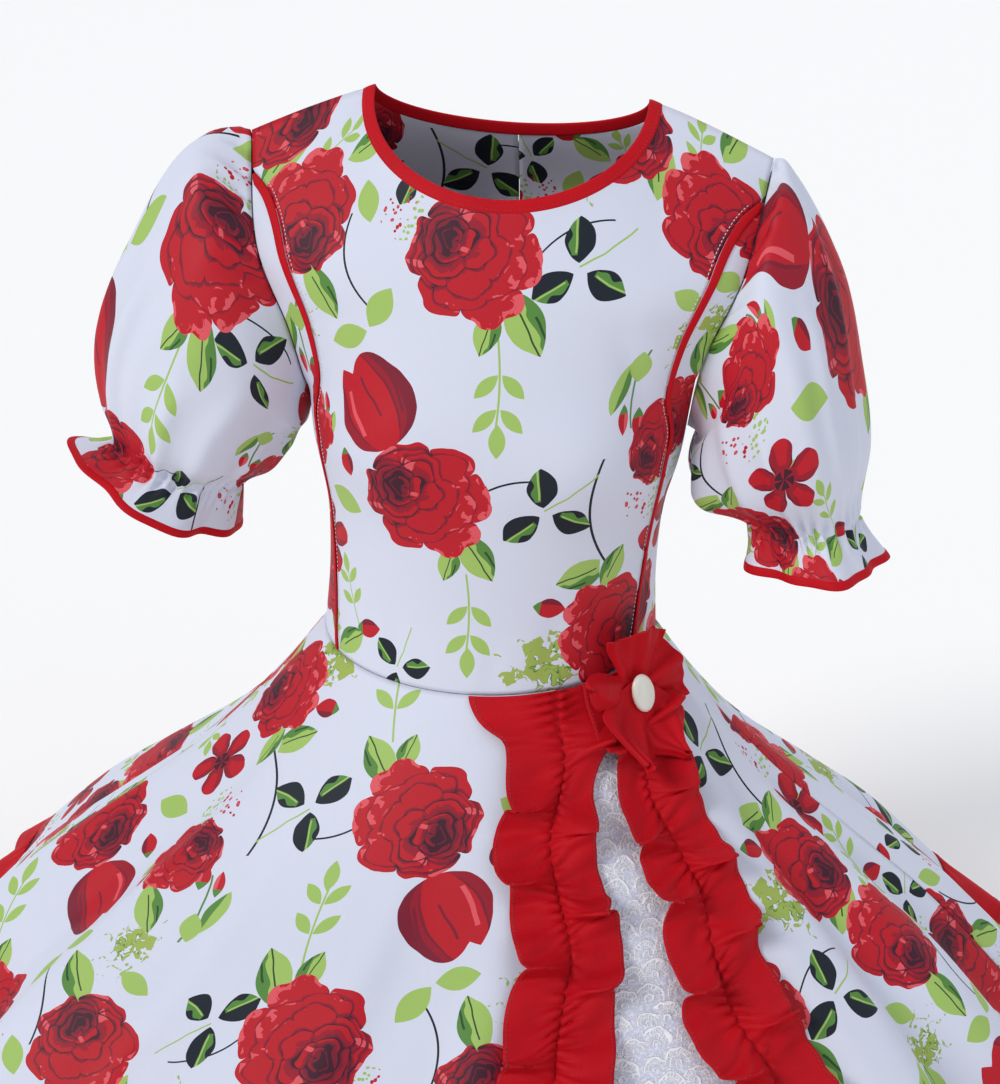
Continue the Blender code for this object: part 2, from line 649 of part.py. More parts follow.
def make_bow():
    """The gathered centre that is sewn down, five lobes one over the other, and the button."""
    centre, left, up, out = bow_frame()
    around = np.radians(np.arange(16) * 22.5)
    pace = np.linalg.norm(skirt(np.array([BOW_TURN + 0.5]), np.array([BOW_AT]))
                          - skirt(np.array([BOW_TURN - 0.5]), np.array([BOW_AT])))
    turn = BOW_TURN + BOW_GATHER * np.append(np.cos(around), 0.0) / pace
    s = BOW_AT - BOW_GATHER * np.append(np.sin(around), 0.0) / SKIRT_LONG
    low = skirt_shell(turn, s, BOW_GATHER_LIFT)
    ring = np.outer(np.cos(around), left) + np.outer(np.sin(around), up)
    high = np.vstack([centre + ring * BOW_GATHER, centre]) + out * (BOW_BASE - LIFT)
    faces = []
    for place in range(16):
        after = (place + 1) % 16
        faces += [(16, after, place), (33, place + 17, after + 17), (place, after, after + 17, place + 17)]
    solid("bow_gather", "red", np.concatenate([low, high]), faces)

    along, across = np.meshgrid(np.linspace(0, 1, 9), np.linspace(-1, 1, 7), indexing="ij")
    lifted = (np.clip(along - BOW_FLAT, 0, 1) / (1 - BOW_FLAT)) ** 2
    for index, name in enumerate(BOW_NAMES):
        row = {column: values[index] for column, values in BOW.items()}
        swing = np.radians(row["heading"])
        ray = left * np.cos(swing) + up * np.sin(swing)
        cross = -left * np.sin(swing) + up * np.cos(swing)
        half = row["wide"] * (0.30 + 0.70 * np.sin(np.clip(along, 0, 0.85) * np.pi / 1.7))
        pleat = BOW_PLEAT * np.cos(across * np.pi * 1.5) * lifted
        high = BOW_BASE + index * BOW_LAYER + row["rise"] * lifted + pleat
        reach = (along * 1.06 - 0.10) * row["long"]
        flat = centre + reach[..., None] * ray + (across * half)[..., None] * cross
        under = flat + high[..., None] * out
        wall(name, "red", under + TRIM_WALL * out, under)
    make_button(centre, left, up, out)


def make_button(centre, left, up, out):
    """An oval domed button on the bow's top layer, turned a little."""
    base = BOW_BASE + len(BOW_NAMES) * BOW_LAYER
    around = np.radians(np.arange(24) * 15.0)
    swing = np.radians(20)
    long_way = up * np.cos(swing) - left * np.sin(swing)
    short_way = left * np.cos(swing) + up * np.sin(swing)
    rings = []
    for share, high in ((0.55, 0.0), (0.93, 0.0004), (1.0, 0.0018), (0.90, 0.0033), (0.55, BUTTON_HIGH)):
        ring = (
            np.outer(np.cos(around) * BUTTON_HALF[0] * share, short_way)
            + np.outer(np.sin(around) * BUTTON_HALF[1] * share, long_way)
        )
        rings.append(centre + ring + out * (base + high))
    points = np.concatenate(rings)
    count = len(around)
    faces = [tuple(range(count))[::-1], tuple(range(4 * count, 5 * count))]
    for ring in range(4):
        for place in range(count):
            following = (place + 1) % count
            faces.append((
                ring * count + place, ring * count + following,
                (ring + 1) * count + following, (ring + 1) * count + place,
            ))
    solid("button", "button", points, faces)


def make_zip_slider():
    """The slider of the concealed back zip, with its drop-shaped grip in one piece."""
    outline = table(
        "across   down",
        (0.0024, 0.000), (0.0026, 0.006), (0.0016, 0.009), (0.0022, 0.013),
        (0.0030, 0.019), (0.0020, 0.023), (-0.0020, 0.023), (-0.0030, 0.019),
        (-0.0022, 0.013), (-0.0016, 0.009), (-0.0026, 0.006), (-0.0024, 0.000),
    )
    start = 0.972
    v = start - outline["down"] / 0.22
    u = outline["across"] / 0.16
    rings = [bodice_shell(1, u, v, -LIFT), bodice_shell(1, u, v, -LIFT - 0.0016)]
    count = len(u)
    faces = [tuple(range(count)), tuple(range(count, 2 * count))[::-1]]
    for place in range(count):
        following = (place + 1) % count
        faces.append((place, following, following + count, place + count))
    solid("zip_slider", "zip", np.concatenate(rings), faces)


def main():
    """Every piece of the dress, from the bodice down."""
    for found in list(bpy.data.objects):
        bpy.data.objects.remove(found)
    make_bodice()
    make_piping()
    make_neck_binding()
    make_sleeves()
    make_skirt()
    make_hem_ruffle()
    make_slit_ruffles()
    make_bow()
    make_zip_slider()


main()
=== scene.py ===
"""Cueca dress of rose-print cloth with red trim: its finish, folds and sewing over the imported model.

Metres, +Z up, the front faces -Y. Left and right are the wearer's: left is +X.
"""

import bpy
import numpy as np
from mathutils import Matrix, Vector


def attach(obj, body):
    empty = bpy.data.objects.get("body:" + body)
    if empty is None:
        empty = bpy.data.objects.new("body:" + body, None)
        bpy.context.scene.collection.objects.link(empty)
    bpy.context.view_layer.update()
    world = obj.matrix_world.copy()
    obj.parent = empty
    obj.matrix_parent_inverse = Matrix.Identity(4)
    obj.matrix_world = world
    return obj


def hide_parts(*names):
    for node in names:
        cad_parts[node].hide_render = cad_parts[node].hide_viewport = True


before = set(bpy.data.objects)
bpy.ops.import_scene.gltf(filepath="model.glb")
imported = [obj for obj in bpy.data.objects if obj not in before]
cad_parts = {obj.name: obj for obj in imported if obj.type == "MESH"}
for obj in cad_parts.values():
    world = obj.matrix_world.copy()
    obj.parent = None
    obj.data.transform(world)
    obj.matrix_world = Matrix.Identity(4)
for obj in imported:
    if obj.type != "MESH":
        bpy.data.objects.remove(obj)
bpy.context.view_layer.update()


# The camera, floor and light. The camera stands a little to the wearer's left and above the
# waist, close enough that the hem leaves the frame. Pale floor, large soft lights.
VIEW_TARGET = Vector((-0.008, 0.0, -0.322))
VIEW_TURN = np.radians(6.0)
VIEW_HIGH = np.radians(20.0)
VIEW_FAR = 1.35
VIEW_LENS = 65.88
FLOOR_Z = -0.7795
FLOOR_HALF = 30.0
# Soft suns: turn from the front, height, strength, spread and colour.
LIGHTS = (
    ("key", -46.0, 37.0, 1.45, 20.0, (1.0, 0.985, 0.965)),
    ("fill", 60.0, 30.0, 0.28, 60.0, (0.92, 0.95, 1.0)),
    ("back", 170.0, 45.0, 0.75, 50.0, (0.96, 0.97, 1.0)),
)
ROOM = (0.86, 0.90, 1.0, 1.0)
ROOM_STRENGTH = 0.54

out = Vector((
    np.sin(VIEW_TURN) * np.cos(VIEW_HIGH), -np.cos(VIEW_TURN) * np.cos(VIEW_HIGH), np.sin(VIEW_HIGH),
))
camera_data = bpy.data.cameras.new("camera")
camera_data.lens = VIEW_LENS
camera_data.sensor_width = 36.0
camera_data.sensor_fit = "HORIZONTAL"
camera_data.clip_end = 200.0
camera = bpy.data.objects.new("camera", camera_data)
camera.location = VIEW_TARGET + VIEW_FAR * out
camera.rotation_euler = (-out).to_track_quat("-Z", "Y").to_euler()
bpy.context.scene.collection.objects.link(camera)
bpy.context.scene.camera = camera
bpy.context.scene.view_settings.view_transform = "Standard"

for name, heading, height, strength, spread, colour in LIGHTS:
    light = bpy.data.lights.new(name, "SUN")
    light.energy = strength
    light.angle = np.radians(spread)
    light.color = colour
    lamp = bpy.data.objects.new(name, light)
    lamp.rotation_euler = (np.radians(90 - height), 0.0, np.radians(heading))
    bpy.context.scene.collection.objects.link(lamp)

world = bpy.data.worlds.new("room")
world.use_nodes = True
world.node_tree.nodes["Background"].inputs["Color"].default_value = ROOM
world.node_tree.nodes["Background"].inputs["Strength"].default_value = ROOM_STRENGTH
bpy.context.scene.world = world

floor_mesh = bpy.data.meshes.new("floor")
floor_mesh.from_pydata(
    [(x * FLOOR_HALF, y * FLOOR_HALF, FLOOR_Z) for x, y in ((-1, -1), (1, -1), (1, 1), (-1, 1))],
    [], [(0, 1, 2, 3)],
)
floor = bpy.data.objects.new("floor", floor_mesh)
bpy.context.scene.collection.objects.link(floor)
floor_paint = bpy.data.materials.new("floor_paint")
floor_paint.use_nodes = True
paint = floor_paint.node_tree.nodes["Principled BSDF"].inputs
paint["Base Color"].default_value = (1.0, 0.985, 0.95, 1)
paint["Roughness"].default_value = 0.9
floor_mesh.materials.append(floor_paint)


# The rose print. White polyester poplin, printed in flat inks with big red roses, tulip buds,
# dark and light leaves, sprigs, foliage and berries, over a repeat of about 29 by 36 cm.
REPEAT = (0.291, 0.356)
CLOTH_WHITE = (0.665, 0.695, 0.800)
INK = {
    "plum": (60, 12, 34),
    "maroon": (122, 14, 40),
    "deep": (150, 10, 36),
    "red": (186, 10, 30),
    "pink": (222, 84, 92),
    "light": (160, 192, 98),
    "mid": (84, 134, 58),
    "dark": (38, 76, 38),
    "navy": (12, 24, 36),
    "lime": (158, 178, 84),
}
# Each motif's places in the repeat: across and up from the waist's middle, turn, and half size.
ROSES = (
    (-0.012, 0.312, 0, 0.046), (-0.038, 0.1465, 8, 0.046), (-0.138, 0.333, 150, 0.040),
    (0.100, 0.040, 200, 0.042), (0.136, 0.180, 70, 0.033),
)
TRIOS = ((0.0574, 0.304, 0, 0.034), (0.0439, 0.1385, 6, 0.034), (-0.058, 0.012, 40, 0.025))
LEAVES = (
    (0.024, 0.270, -62, 0.025), (0.000, 0.264, -105, 0.017), (-0.002, 0.104, -58, 0.022),
    (-0.021, 0.098, -104, 0.015), (0.074, 0.086, 195, 0.021), (0.098, 0.088, 62, 0.018),
    (-0.170, 0.368, 70, 0.024), (-0.104, 0.378, 35, 0.018), (-0.118, 0.284, -60, 0.022),
    (0.142, 0.226, 110, 0.020),
)
SPRIGS = (
    (0.010, 0.224, 180, 0.038), (-0.006, 0.054, 180, 0.036), (-0.104, 0.058, 20, 0.026),
    (-0.134, 0.018, -30, 0.024),
)
PALE_LEAVES = (
    (-0.074, 0.276, 60, 0.016), (-0.098, 0.254, -160, 0.015), (-0.090, 0.344, 110, 0.014),
    (-0.108, 0.132, -20, 0.018), (-0.138, 0.096, 40, 0.014), (0.132, 0.282, 150, 0.013),
)
TULIPS = ((-0.079, 0.214, 32, 0.035),)
FLOWERS = ((0.152, 0.094, 15, 0.032),)
BUDS = ((0.107, 0.222, 0, 0.035), (-0.136, 0.186, 180, 0.028))
SMALL_BUDS = ((0.050, 0.063, 80, 0.012), (-0.101, 0.166, 20, 0.011), (-0.085, 0.036, 100, 0.011))
FOLIAGE = ((0.056, 0.020, 0, 0.038), (-0.146, 0.256, 60, 0.026))
BERRIES = ((0.124, 0.142, 20, 0.024), (-0.062, 0.338, 0, 0.018))
STEMS = (
    (0.0757, 0.131, 8, 0.046), (-0.098, 0.300, 20, 0.034), (0.050, 0.330, -64, 0.030),
    (0.014, 0.160, -70, 0.034),
)


class Term:
    """A number or vector in a material's node tree, so that a sum of terms reads as a formula."""

    def __init__(self, tree, socket):
        self.tree = tree
        self.socket = socket

    def math(self, operation, *others):
        return use(self.tree, "ShaderNodeMath", (self, *others), operation=operation)

    def __add__(self, other):
        return self.math("ADD", other)

    def __sub__(self, other):
        return self.math("SUBTRACT", other)

    def __mul__(self, other):
        return self.math("MULTIPLY", other)

    def __truediv__(self, other):
        return self.math("DIVIDE", other)

    def __pow__(self, other):
        return self.math("POWER", other)

    def __lt__(self, other):
        return self.math("LESS_THAN", other)

    def __gt__(self, other):
        return self.math("GREATER_THAN", other)

    def __abs__(self):
        return self.math("ABSOLUTE")

    __radd__ = __add__
    __rmul__ = __mul__

    def __rsub__(self, other):
        return self * -1 + other

    def within(self, start, end):
        """Soft step from 0 at start to 1 at end."""
        node = self.tree.nodes.new("ShaderNodeMapRange")
        node.interpolation_type = "SMOOTHSTEP"
        for place, value in enumerate((self, start, end, 0.0, 1.0)):
            feed(self.tree, node.inputs[place], value)
        return Term(self.tree, node.outputs[0])


def feed(tree, inlet, value):
    """Give a node's inlet a term, or a plain value."""
    if isinstance(value, Term):
        tree.links.new(value.socket, inlet)
    else:
        inlet.default_value = value


def use(tree, kind, values, outlet=0, inlets=None, **settings):
    """One new node with its settings and the values of its inlets, and the term it gives."""
    node = tree.nodes.new(kind)
    for setting, value in settings.items():
        setattr(node, setting, value)
    for place, value in zip(inlets or range(len(values)), values):
        feed(tree, node.inputs[place], value)
    return Term(tree, node.outputs[outlet])


def vector(tree, operation, *values):
    """One Vector Math node. A length comes out of its second outlet."""
    outlet = 1 if operation == "LENGTH" else 0
    return use(tree, "ShaderNodeVectorMath", values, outlet, operation=operation)


def chosen(tree, mask, usual, other, kind="RGBA"):
    """The usual colour or vector, and the other one where the mask is 1."""
    inlets = (0, 6, 7) if kind == "RGBA" else (0, 4, 5)
    outlet = 2 if kind == "RGBA" else 1
    return use(tree, "ShaderNodeMix", (mask, usual, other), outlet, inlets, data_type=kind)


def ink(red, green, blue):
    """An ink's linear colour from its display values of 0 to 255."""
    return tuple(((value / 255 + 0.055) / 1.055) ** 2.4 for value in (red, green, blue)) + (1.0,)


def noise(tree, at, scale, detail=2.0):
    """Soft noise about 0, from -0.5 to 0.5, over x and y, as a number and as a vector."""
    node = tree.nodes.new("ShaderNodeTexNoise")
    node.noise_dimensions = "2D"
    feed(tree, node.inputs["Vector"], at)
    node.inputs["Scale"].default_value = scale
    node.inputs["Detail"].default_value = detail
    number = Term(tree, node.outputs[0]) - 0.5
    return number, vector(tree, "SUBTRACT", Term(tree, node.outputs[1]), (0.5, 0.5, 0.5))


def placed(tree, cloth, rows, warp=None, scale=2.0):
    """The nearest of a motif's places: across, up and distance in its own half sizes, after
    wrapping each place over the repeat and turning it; warp bends its outline by soft noise."""
    half = (REPEAT[0] / 2, REPEAT[1] / 2, 1.0)
    best = reach = None
    for x, y, turn, size in rows:
        away = vector(tree, "SUBTRACT", cloth, (x, y, 0.0))
        away = vector(tree, "WRAP", away, half, tuple(-value for value in half))
        away = use(
            tree, "ShaderNodeVectorRotate", (away, np.radians(-turn)), inlets=(0, 3),
            rotation_type="Z_AXIS",
        )
        away = vector(tree, "MULTIPLY", away, (1 / size, 1 / size, 0.0))
        far = vector(tree, "LENGTH", away)
        if best is None:
            best, reach = away, far
        else:
            best = chosen(tree, far.math("LESS_THAN", reach), best, away, "VECTOR")
            reach = reach.math("MINIMUM", far)
    if warp:
        bend = vector(tree, "MULTIPLY", noise(tree, best, scale, 1.0)[1], (warp, warp, 0.0))
        best = vector(tree, "ADD", best, bend)
    node = tree.nodes.new("ShaderNodeSeparateXYZ")
    feed(tree, node.inputs[0], best)
    across = Term(tree, node.outputs[0])
    up = Term(tree, node.outputs[1])
    return best, across, up


def leaf_shape(across, along, long, wide):
    """Mask of a pointed leaf from 0 to long, and how far across it is in half widths. The half
    width is wide times one less the square of the share of the way from its middle."""
    share = along / long * 2 - 1
    width = (1 - share * share) * wide
    return abs(across) < width, across / wide


def rose_ink(tree, cloth):
    """A rose of six rings of petals about an off-centre heart. Each petal is dark at its foot and
    joints and under the ring inside it, and lighter at its rim, in five flat inks."""
    best, x, y = placed(tree, cloth, ROSES, 0.34, 2.1)
    grain, _ = noise(tree, best, 5.5, 3.0)
    tone = mask = None
    for ring, (size, petals, phase, off_x, off_y, base) in enumerate((
        (0.97, 6, 0.4, 0.00, 0.00, 0.56), (0.80, 5, 1.3, -0.05, 0.04, 0.54),
        (0.63, 5, 0.2, -0.15, 0.11, 0.46), (0.47, 4, 1.0, -0.22, 0.18, 0.36),
        (0.31, 3, 0.5, -0.27, 0.23, 0.27), (0.15, 3, 1.9, -0.29, 0.25, 0.16),
    )):
        shift_x = x - off_x
        shift_y = y - off_y
        radius = (shift_x * shift_x + shift_y * shift_y).math("SQRT")
        swing = shift_y.math("ARCTAN2", shift_x)
        lobe = abs((swing * (petals / 2) + phase).math("COSINE"))
        edge = (lobe ** 0.45) * (0.22 * size) + 0.80 * size
        share = radius / edge
        inside = share < 1.0
        rim = share.within(0.55, 1.0) * 0.34
        joint = lobe.within(0.0, 0.32) * 0.22
        side = (swing + 0.5).math("COSINE") * 0.20
        here = rim + joint + side + (base - 0.28)
        if tone is None:
            tone, mask = here, inside
        else:
            shadow = (1.0 - share.within(1.0, 1.14)) * 0.36
            tone = tone - shadow
            tone = tone + inside * (here - tone)
    stretch = vector(tree, "MULTIPLY", best, (1.3, 3.1, 1.0))
    stroke, _ = noise(tree, stretch, 1.35, 1.0)
    tone = tone + grain * 0.46
    tone = tone + (stroke > 0.17) * (tone > 0.40) * (tone < 0.80) * 0.6
    node = tree.nodes.new("ShaderNodeValToRGB")
    node.color_ramp.interpolation = "CONSTANT"
    stops = ((0.0, "plum"), (0.22, "maroon"), (0.42, "deep"), (0.56, "red"), (0.99, "pink"))
    while len(node.color_ramp.elements) < len(stops):
        node.color_ramp.elements.new(0.5)
    for element, (place, name) in zip(node.color_ramp.elements, stops):
        element.position = place
        element.color = ink(*INK[name])
    feed(tree, node.inputs[0], tone)
    return mask, Term(tree, node.outputs[0])


def print_inks(tree, cloth):
    """The whole print, laid from the stems up to the roses, as one colour."""
    colour = (*CLOTH_WHITE, 1.0)

    def lay(mask, name):
        nonlocal colour
        colour = chosen(tree, mask, colour, ink(*INK[name]) if isinstance(name, str) else name)

    best, x, y = placed(tree, cloth, STEMS)
    bow = x - y * y * 0.30
    lay((abs(bow) < 0.022) * (abs(y) < 1.0), "navy")

    best, x, y = placed(tree, cloth, FOLIAGE, 0.5, 3.0)
    speck, _ = noise(tree, best, 3.4, 3.0)
    apart = (x * x * 1.3 + y * y * 2.4) * 0.16
    lay(speck - apart > -0.055, "lime")
    lay((speck - apart > -0.055) * (abs(speck) < 0.012), "mid")

    best, x, y = placed(tree, cloth, SPRIGS)
    lay((abs(x - y * y * 0.08) < 0.020) * (abs(y) < 1.0), "light")
    for low in (-0.35, 0.25):
        rise = (y - low) * 0.72 + abs(x) * 0.70
        aside = abs(x) * 0.72 - (y - low) * 0.70
        mask, _ = leaf_shape(aside, rise - 0.05, 0.58, 0.125)
        lay(mask, "light")
    mask, _ = leaf_shape(x, y - 0.55, 0.62, 0.15)
    lay(mask, "light")

    best, x, y = placed(tree, cloth, PALE_LEAVES)
    mask, _ = leaf_shape(y, x + 1, 2.0, 0.56)
    lay(mask, "light")

    best, x, y = placed(tree, cloth, LEAVES, 0.08, 1.5)
    mask, across = leaf_shape(y, x + 1, 2.0, 0.52)
    vein = (x * 7 - abs(y) * 9).math("SINE") * 0.10 + 0.30
    lay(mask, "light")
    lay(mask * (across > vein), "mid")
    lay(mask * (abs(across + 0.04) < 0.05) * (x > -0.5), "dark")
    lay(mask * (abs(across - 0.62) < 0.07) * (x > 0.0), "dark")

    best, x, y = placed(tree, cloth, TRIOS, 0.10, 1.6)
    swing = y.math("ARCTAN2", x)
    third = 2 * np.pi / 3
    fold = (swing + 0.5).math("WRAP", third / 2, -third / 2)
    radius = vector(tree, "LENGTH", best)
    along = radius * fold.math("COSINE")
    across = radius * fold.math("SINE")
    mask, share = leaf_shape(across, along - 0.14, 0.90, 0.30)
    lay((abs(x * 0.5 - y * 0.87 + 0.05) < 0.018) * (radius < 1.35) * (x > 0.0), "light")
    lay(mask, "navy")
    vein = (along * 16).math("SINE") * 0.13
    lay(mask * (share > 0.10) * (share - vein < 0.62) * (along > 0.30), "mid")
    lay(mask * (abs(share - 0.20) < 0.06) * (along > 0.34), "light")

    best, x, y = placed(tree, cloth, BUDS, 0.06, 1.5)
    lay((abs(x + 0.10 - y * 0.14 - y * y * 0.2) < 0.022) * (abs(y) < 0.75), "mid")
    mask, across = leaf_shape(x + 0.42 - y * 0.4, y + 0.45, 0.95, 0.20)
    lay(mask, "light")
    lay(mask * (across > 0.15), "mid")
    mask, across = leaf_shape(x + 0.02, y - 0.10, 0.62, 0.21)
    lay(mask, "light")
    for low, aside, wide in ((-0.98, 0.10, 0.17), (-0.86, -0.30, 0.12)):
        mask, across = leaf_shape(x - aside, y - low, 0.58, wide)
        lay(mask, "red")
        lay(mask * (across > 0.2), "pink")
        lay(mask * (y - low > 0.40), "mid")

    best, x, y = placed(tree, cloth, SMALL_BUDS, 0.08, 1.5)
    mask, across = leaf_shape(x, y + 1, 2.0, 0.62)
    lay(mask, "red")
    lay(mask * (across > 0.35), "maroon")
    lay(mask * (y > 0.55), "mid")

    best, x, y = placed(tree, cloth, BERRIES, 0.1, 2.0)
    cell = tree.nodes.new("ShaderNodeTexVoronoi")
    feed(tree, cell.inputs["Vector"], best)
    cell.inputs["Scale"].default_value = 5.0
    dot = Term(tree, cell.outputs["Distance"])
    near = vector(tree, "LENGTH", best) < 0.95
    lay(near * (dot < 0.36) * (x - y * 0.4 > 0.25), "light")
    lay(near * (dot < 0.34) * (x - y * 0.4 < 0.25), "red")
    lay(near * (dot < 0.20) * (x - y * 0.4 < -0.1), "pink")

    best, x, y = placed(tree, cloth, FLOWERS, 0.14, 2.2)
    swing = y.math("ARCTAN2", x)
    radius = vector(tree, "LENGTH", best)
    lobe = abs((swing * 2.5).math("COSINE"))
    mask = radius < lobe ** 0.55 * 0.72 + 0.22
    lay(mask, "deep")
    lay(mask * (lobe > 0.82) * (radius > 0.35), "red")
    lay(mask * (radius < 0.24) * (lobe < 0.9), "plum")
    lay(mask * (abs(lobe - 0.30) < 0.06) * (radius > 0.3), "plum")

    best, x, y = placed(tree, cloth, TULIPS, 0.07, 1.7)
    lay((x * x * 5 + (y + 0.80) * (y + 0.80) * 9) < 0.42, "mid")
    bulb = ((1.0 - y * y).math("MAXIMUM", 0.0) ** 0.55) * (0.88 - y * 0.20)
    tips = abs((x * 3.6 + 0.9).math("SINE")) * 0.24 + 0.62
    whole = (abs(x) < bulb) * (y < tips)
    lay(whole, "deep")
    lay(whole * (x > bulb * 0.72), "maroon")
    petal = abs(x + 0.12 + y * 0.10) / (((1.0 - y * y * 0.8).math("MAXIMUM", 0.0) ** 0.7) * 0.55)
    lay(whole * (petal < 1.0), "red")
    lay(whole * (abs(petal - 1.03) < 0.05) * (y > -0.75), "maroon")
    lay(whole * (abs(x - 0.60 + y * y * 0.3) < 0.035) * (abs(y) < 0.5), "maroon")
    lay(whole * (abs(x + 0.50 - y * y * 0.2) < 0.05) * (abs(y + 0.1) < 0.45), "pink")
    lay(whole * (abs(x - 0.02 + y * 0.16) < 0.026) * (abs(y - 0.05) < 0.42), "maroon")

    mask, petals = rose_ink(tree, cloth)
    lay(mask, petals)
    return colour


def weave_bump(tree, scale, high):
    """Bump of a fine uneven weave, in threads of about 1/scale metres."""
    at = use(tree, "ShaderNodeUVMap", ())
    stretch = vector(tree, "MULTIPLY", at, (1.0, 0.35, 1.0))
    warp, _ = noise(tree, stretch, scale, 1.0)
    weft, _ = noise(tree, vector(tree, "MULTIPLY", at, (0.35, 1.0, 1.0)), scale, 1.0)
    node = tree.nodes.new("ShaderNodeBump")
    node.inputs["Strength"].default_value = 0.35
    node.inputs["Distance"].default_value = high
    feed(tree, node.inputs["Height"], warp + weft)
    return Term(tree, node.outputs[0])


def new_finish(name, roughness, sheen=0.0, sheen_roughness=0.5):
    """A material with its shader, whose plain numbers are set on their own sockets."""
    made = bpy.data.materials.new(name)
    made.use_nodes = True
    shader = made.node_tree.nodes["Principled BSDF"]
    shader.inputs["Roughness"].default_value = roughness
    shader.inputs["Sheen Weight"].default_value = sheen
    shader.inputs["Sheen Roughness"].default_value = sheen_roughness
    return made, made.node_tree, shader


def mottled(name, roughness, sheen, scale, detail, low, high):
    """A finish whose colour wanders between two inks by soft noise over the object, and its shader."""
    made, tree, shader = new_finish(name, roughness, sheen)
    cloud, _ = noise(tree, use(tree, "ShaderNodeTexCoord", (), 3), scale, detail)
    feed(tree, shader.inputs["Base Color"], chosen(tree, cloud + 0.5, ink(*low), ink(*high)))
    return made, shader


print_cloth, tree, shader = new_finish("rose_print", 0.60)
shader.inputs["Specular IOR Level"].default_value = 0.35
cloth = use(tree, "ShaderNodeUVMap", ())
feed(tree, shader.inputs["Base Color"], print_inks(tree, cloth))
feed(tree, shader.inputs["Normal"], weave_bump(tree, 900.0, 0.00012))


# The bodice. Its front is cut in three at the princess seams and its back in two at the zip, of
# print cloth, joined at the shoulders and sides, and lightly drawn in at the bust and waist.
CLOTH_WALL = 0.0011
NECK_HALF = 0.100
NECK_DROP_FRONT = 0.065
NECK_OUT_FRONT = 0.075
NECK_DROP_BACK = 0.032
NECK_OUT_BACK = 0.062
SHOULDER_HALF = 0.1795
SHOULDER_DROP = 0.032
NECK_SHARE = 7 / 12
ARMPIT_AT = 0.46
PRINCESS_TOP = 0.94
PANEL_EDGE = 1 - 0.0012
SEAM_SHARE = 0.0010
SIDE_FRONT_TOP = 0.932
LEAN = 0.04
WAIST_Z = -0.382
BUST_OUT = 0.012
BUST_X = 0.078
BUST_Z = -0.228
BUST_SPREAD = 0.042


def table(columns, *rows):
    """Rows of numbers under named columns, as one array for each column."""
    return dict(zip(columns.split(), np.array(rows, float).T))


FRONT = table(
    "at    z_mid   z_edge   half    depth  edge   wrap",
    (0.00, -0.401, -0.382, 0.1235, 0.098, 0.000, 90),
    (0.14, -0.348, -0.333, 0.1205, 0.094, 0.000, 90),
    (0.27, -0.292, -0.285, 0.1225, 0.099, 0.000, 90),
    (0.40, -0.238, -0.238, 0.1325, 0.109, 0.000, 90),
    (0.46, -0.213, -0.222, 0.1345, 0.111, 0.000, 90),
    (0.56, -0.175, -0.195, 0.1365, 0.108, 0.030, 70),
    (0.68, -0.138, -0.158, 0.1440, 0.102, 0.046, 62),
    (0.82, -0.098, -0.105, 0.1640, 0.091, 0.050, 58),
)
BACK = table(
    "at    z_mid   z_edge   half    depth  edge   wrap",
    (0.00, -0.382, -0.382, 0.1235, 0.088, 0.000, 90),
    (0.14, -0.333, -0.333, 0.1205, 0.083, 0.000, 90),
    (0.27, -0.285, -0.285, 0.1225, 0.085, 0.000, 90),
    (0.40, -0.238, -0.238, 0.1325, 0.093, 0.000, 90),
    (0.46, -0.213, -0.222, 0.1345, 0.096, 0.000, 90),
    (0.56, -0.175, -0.195, 0.1400, 0.099, 0.034, 72),
    (0.68, -0.132, -0.155, 0.1530, 0.101, 0.052, 64),
    (0.82, -0.084, -0.100, 0.1680, 0.094, 0.054, 58),
)
PRINCESS = table(
    "at    share  piping",
    (0.00, 0.657, 0.0042),
    (0.14, 0.720, 0.0042),
    (0.27, 0.755, 0.0045),
    (0.42, 0.720, 0.0050),
    (0.56, 0.780, 0.0058),
    (0.68, 0.800, 0.0068),
    (0.80, 0.808, 0.0080),
    (0.86, 0.845, 0.0085),
    (0.90, 0.905, 0.0085),
    (0.94, 1.000, 0.0085),
)


def loft(knots, sections, at):
    """Points at `at` on smooth curves through sections, one for each knot on the first axis: cubics
    whose slope at a knot is the mean of its neighbours' slopes, weighted by their widths."""
    step = np.diff(knots).reshape(-1, *[1] * (sections.ndim - 1))
    slope = np.diff(sections, axis=0) / step
    middle = (slope[1:] * step[:-1] + slope[:-1] * step[1:]) / (step[1:] + step[:-1])
    tangents = np.concatenate([slope[:1], middle, slope[-1:]])
    index = np.clip(np.searchsorted(knots, at, side="right") - 1, 0, len(knots) - 2)

    def pick(values, where):
        shape = where.reshape(1, *where.shape, *[1] * (values.ndim - 1 - where.ndim))
        shape = np.broadcast_to(shape, (1, *values.shape[1:]))
        return np.take_along_axis(values, shape, 0)[0]

    width = knots[index + 1] - knots[index]
    t = (at - knots[index]) / width
    tail = [1] * (sections.ndim - 1 - t.ndim)
    t = t.reshape(*t.shape, *tail)
    width = width.reshape(*width.shape, *tail)
    return (
        (2 * t**3 - 3 * t**2 + 1) * pick(sections, index)
        + (t**3 - 2 * t**2 + t) * width * pick(tangents, index)
        + (3 * t**2 - 2 * t**3) * pick(sections, index + 1)
        + (t**3 - t**2) * width * pick(tangents, index + 1)
    )


def read(rows, column, at, key="at"):
    """The smooth curve through one column of a table, read along its first column."""
    at = np.asarray(at, float)
    columns = rows[column].reshape(-1, *[1] * at.ndim)
    return loft(rows[key], np.broadcast_to(columns, (len(rows[key]), *at.shape)), at)


def ramp(value, start, end):
    """Soft step from 0 at start to 1 at end."""
    t = np.clip((value - start) / (end - start), 0, 1)
    return t * t * (3 - 2 * t)


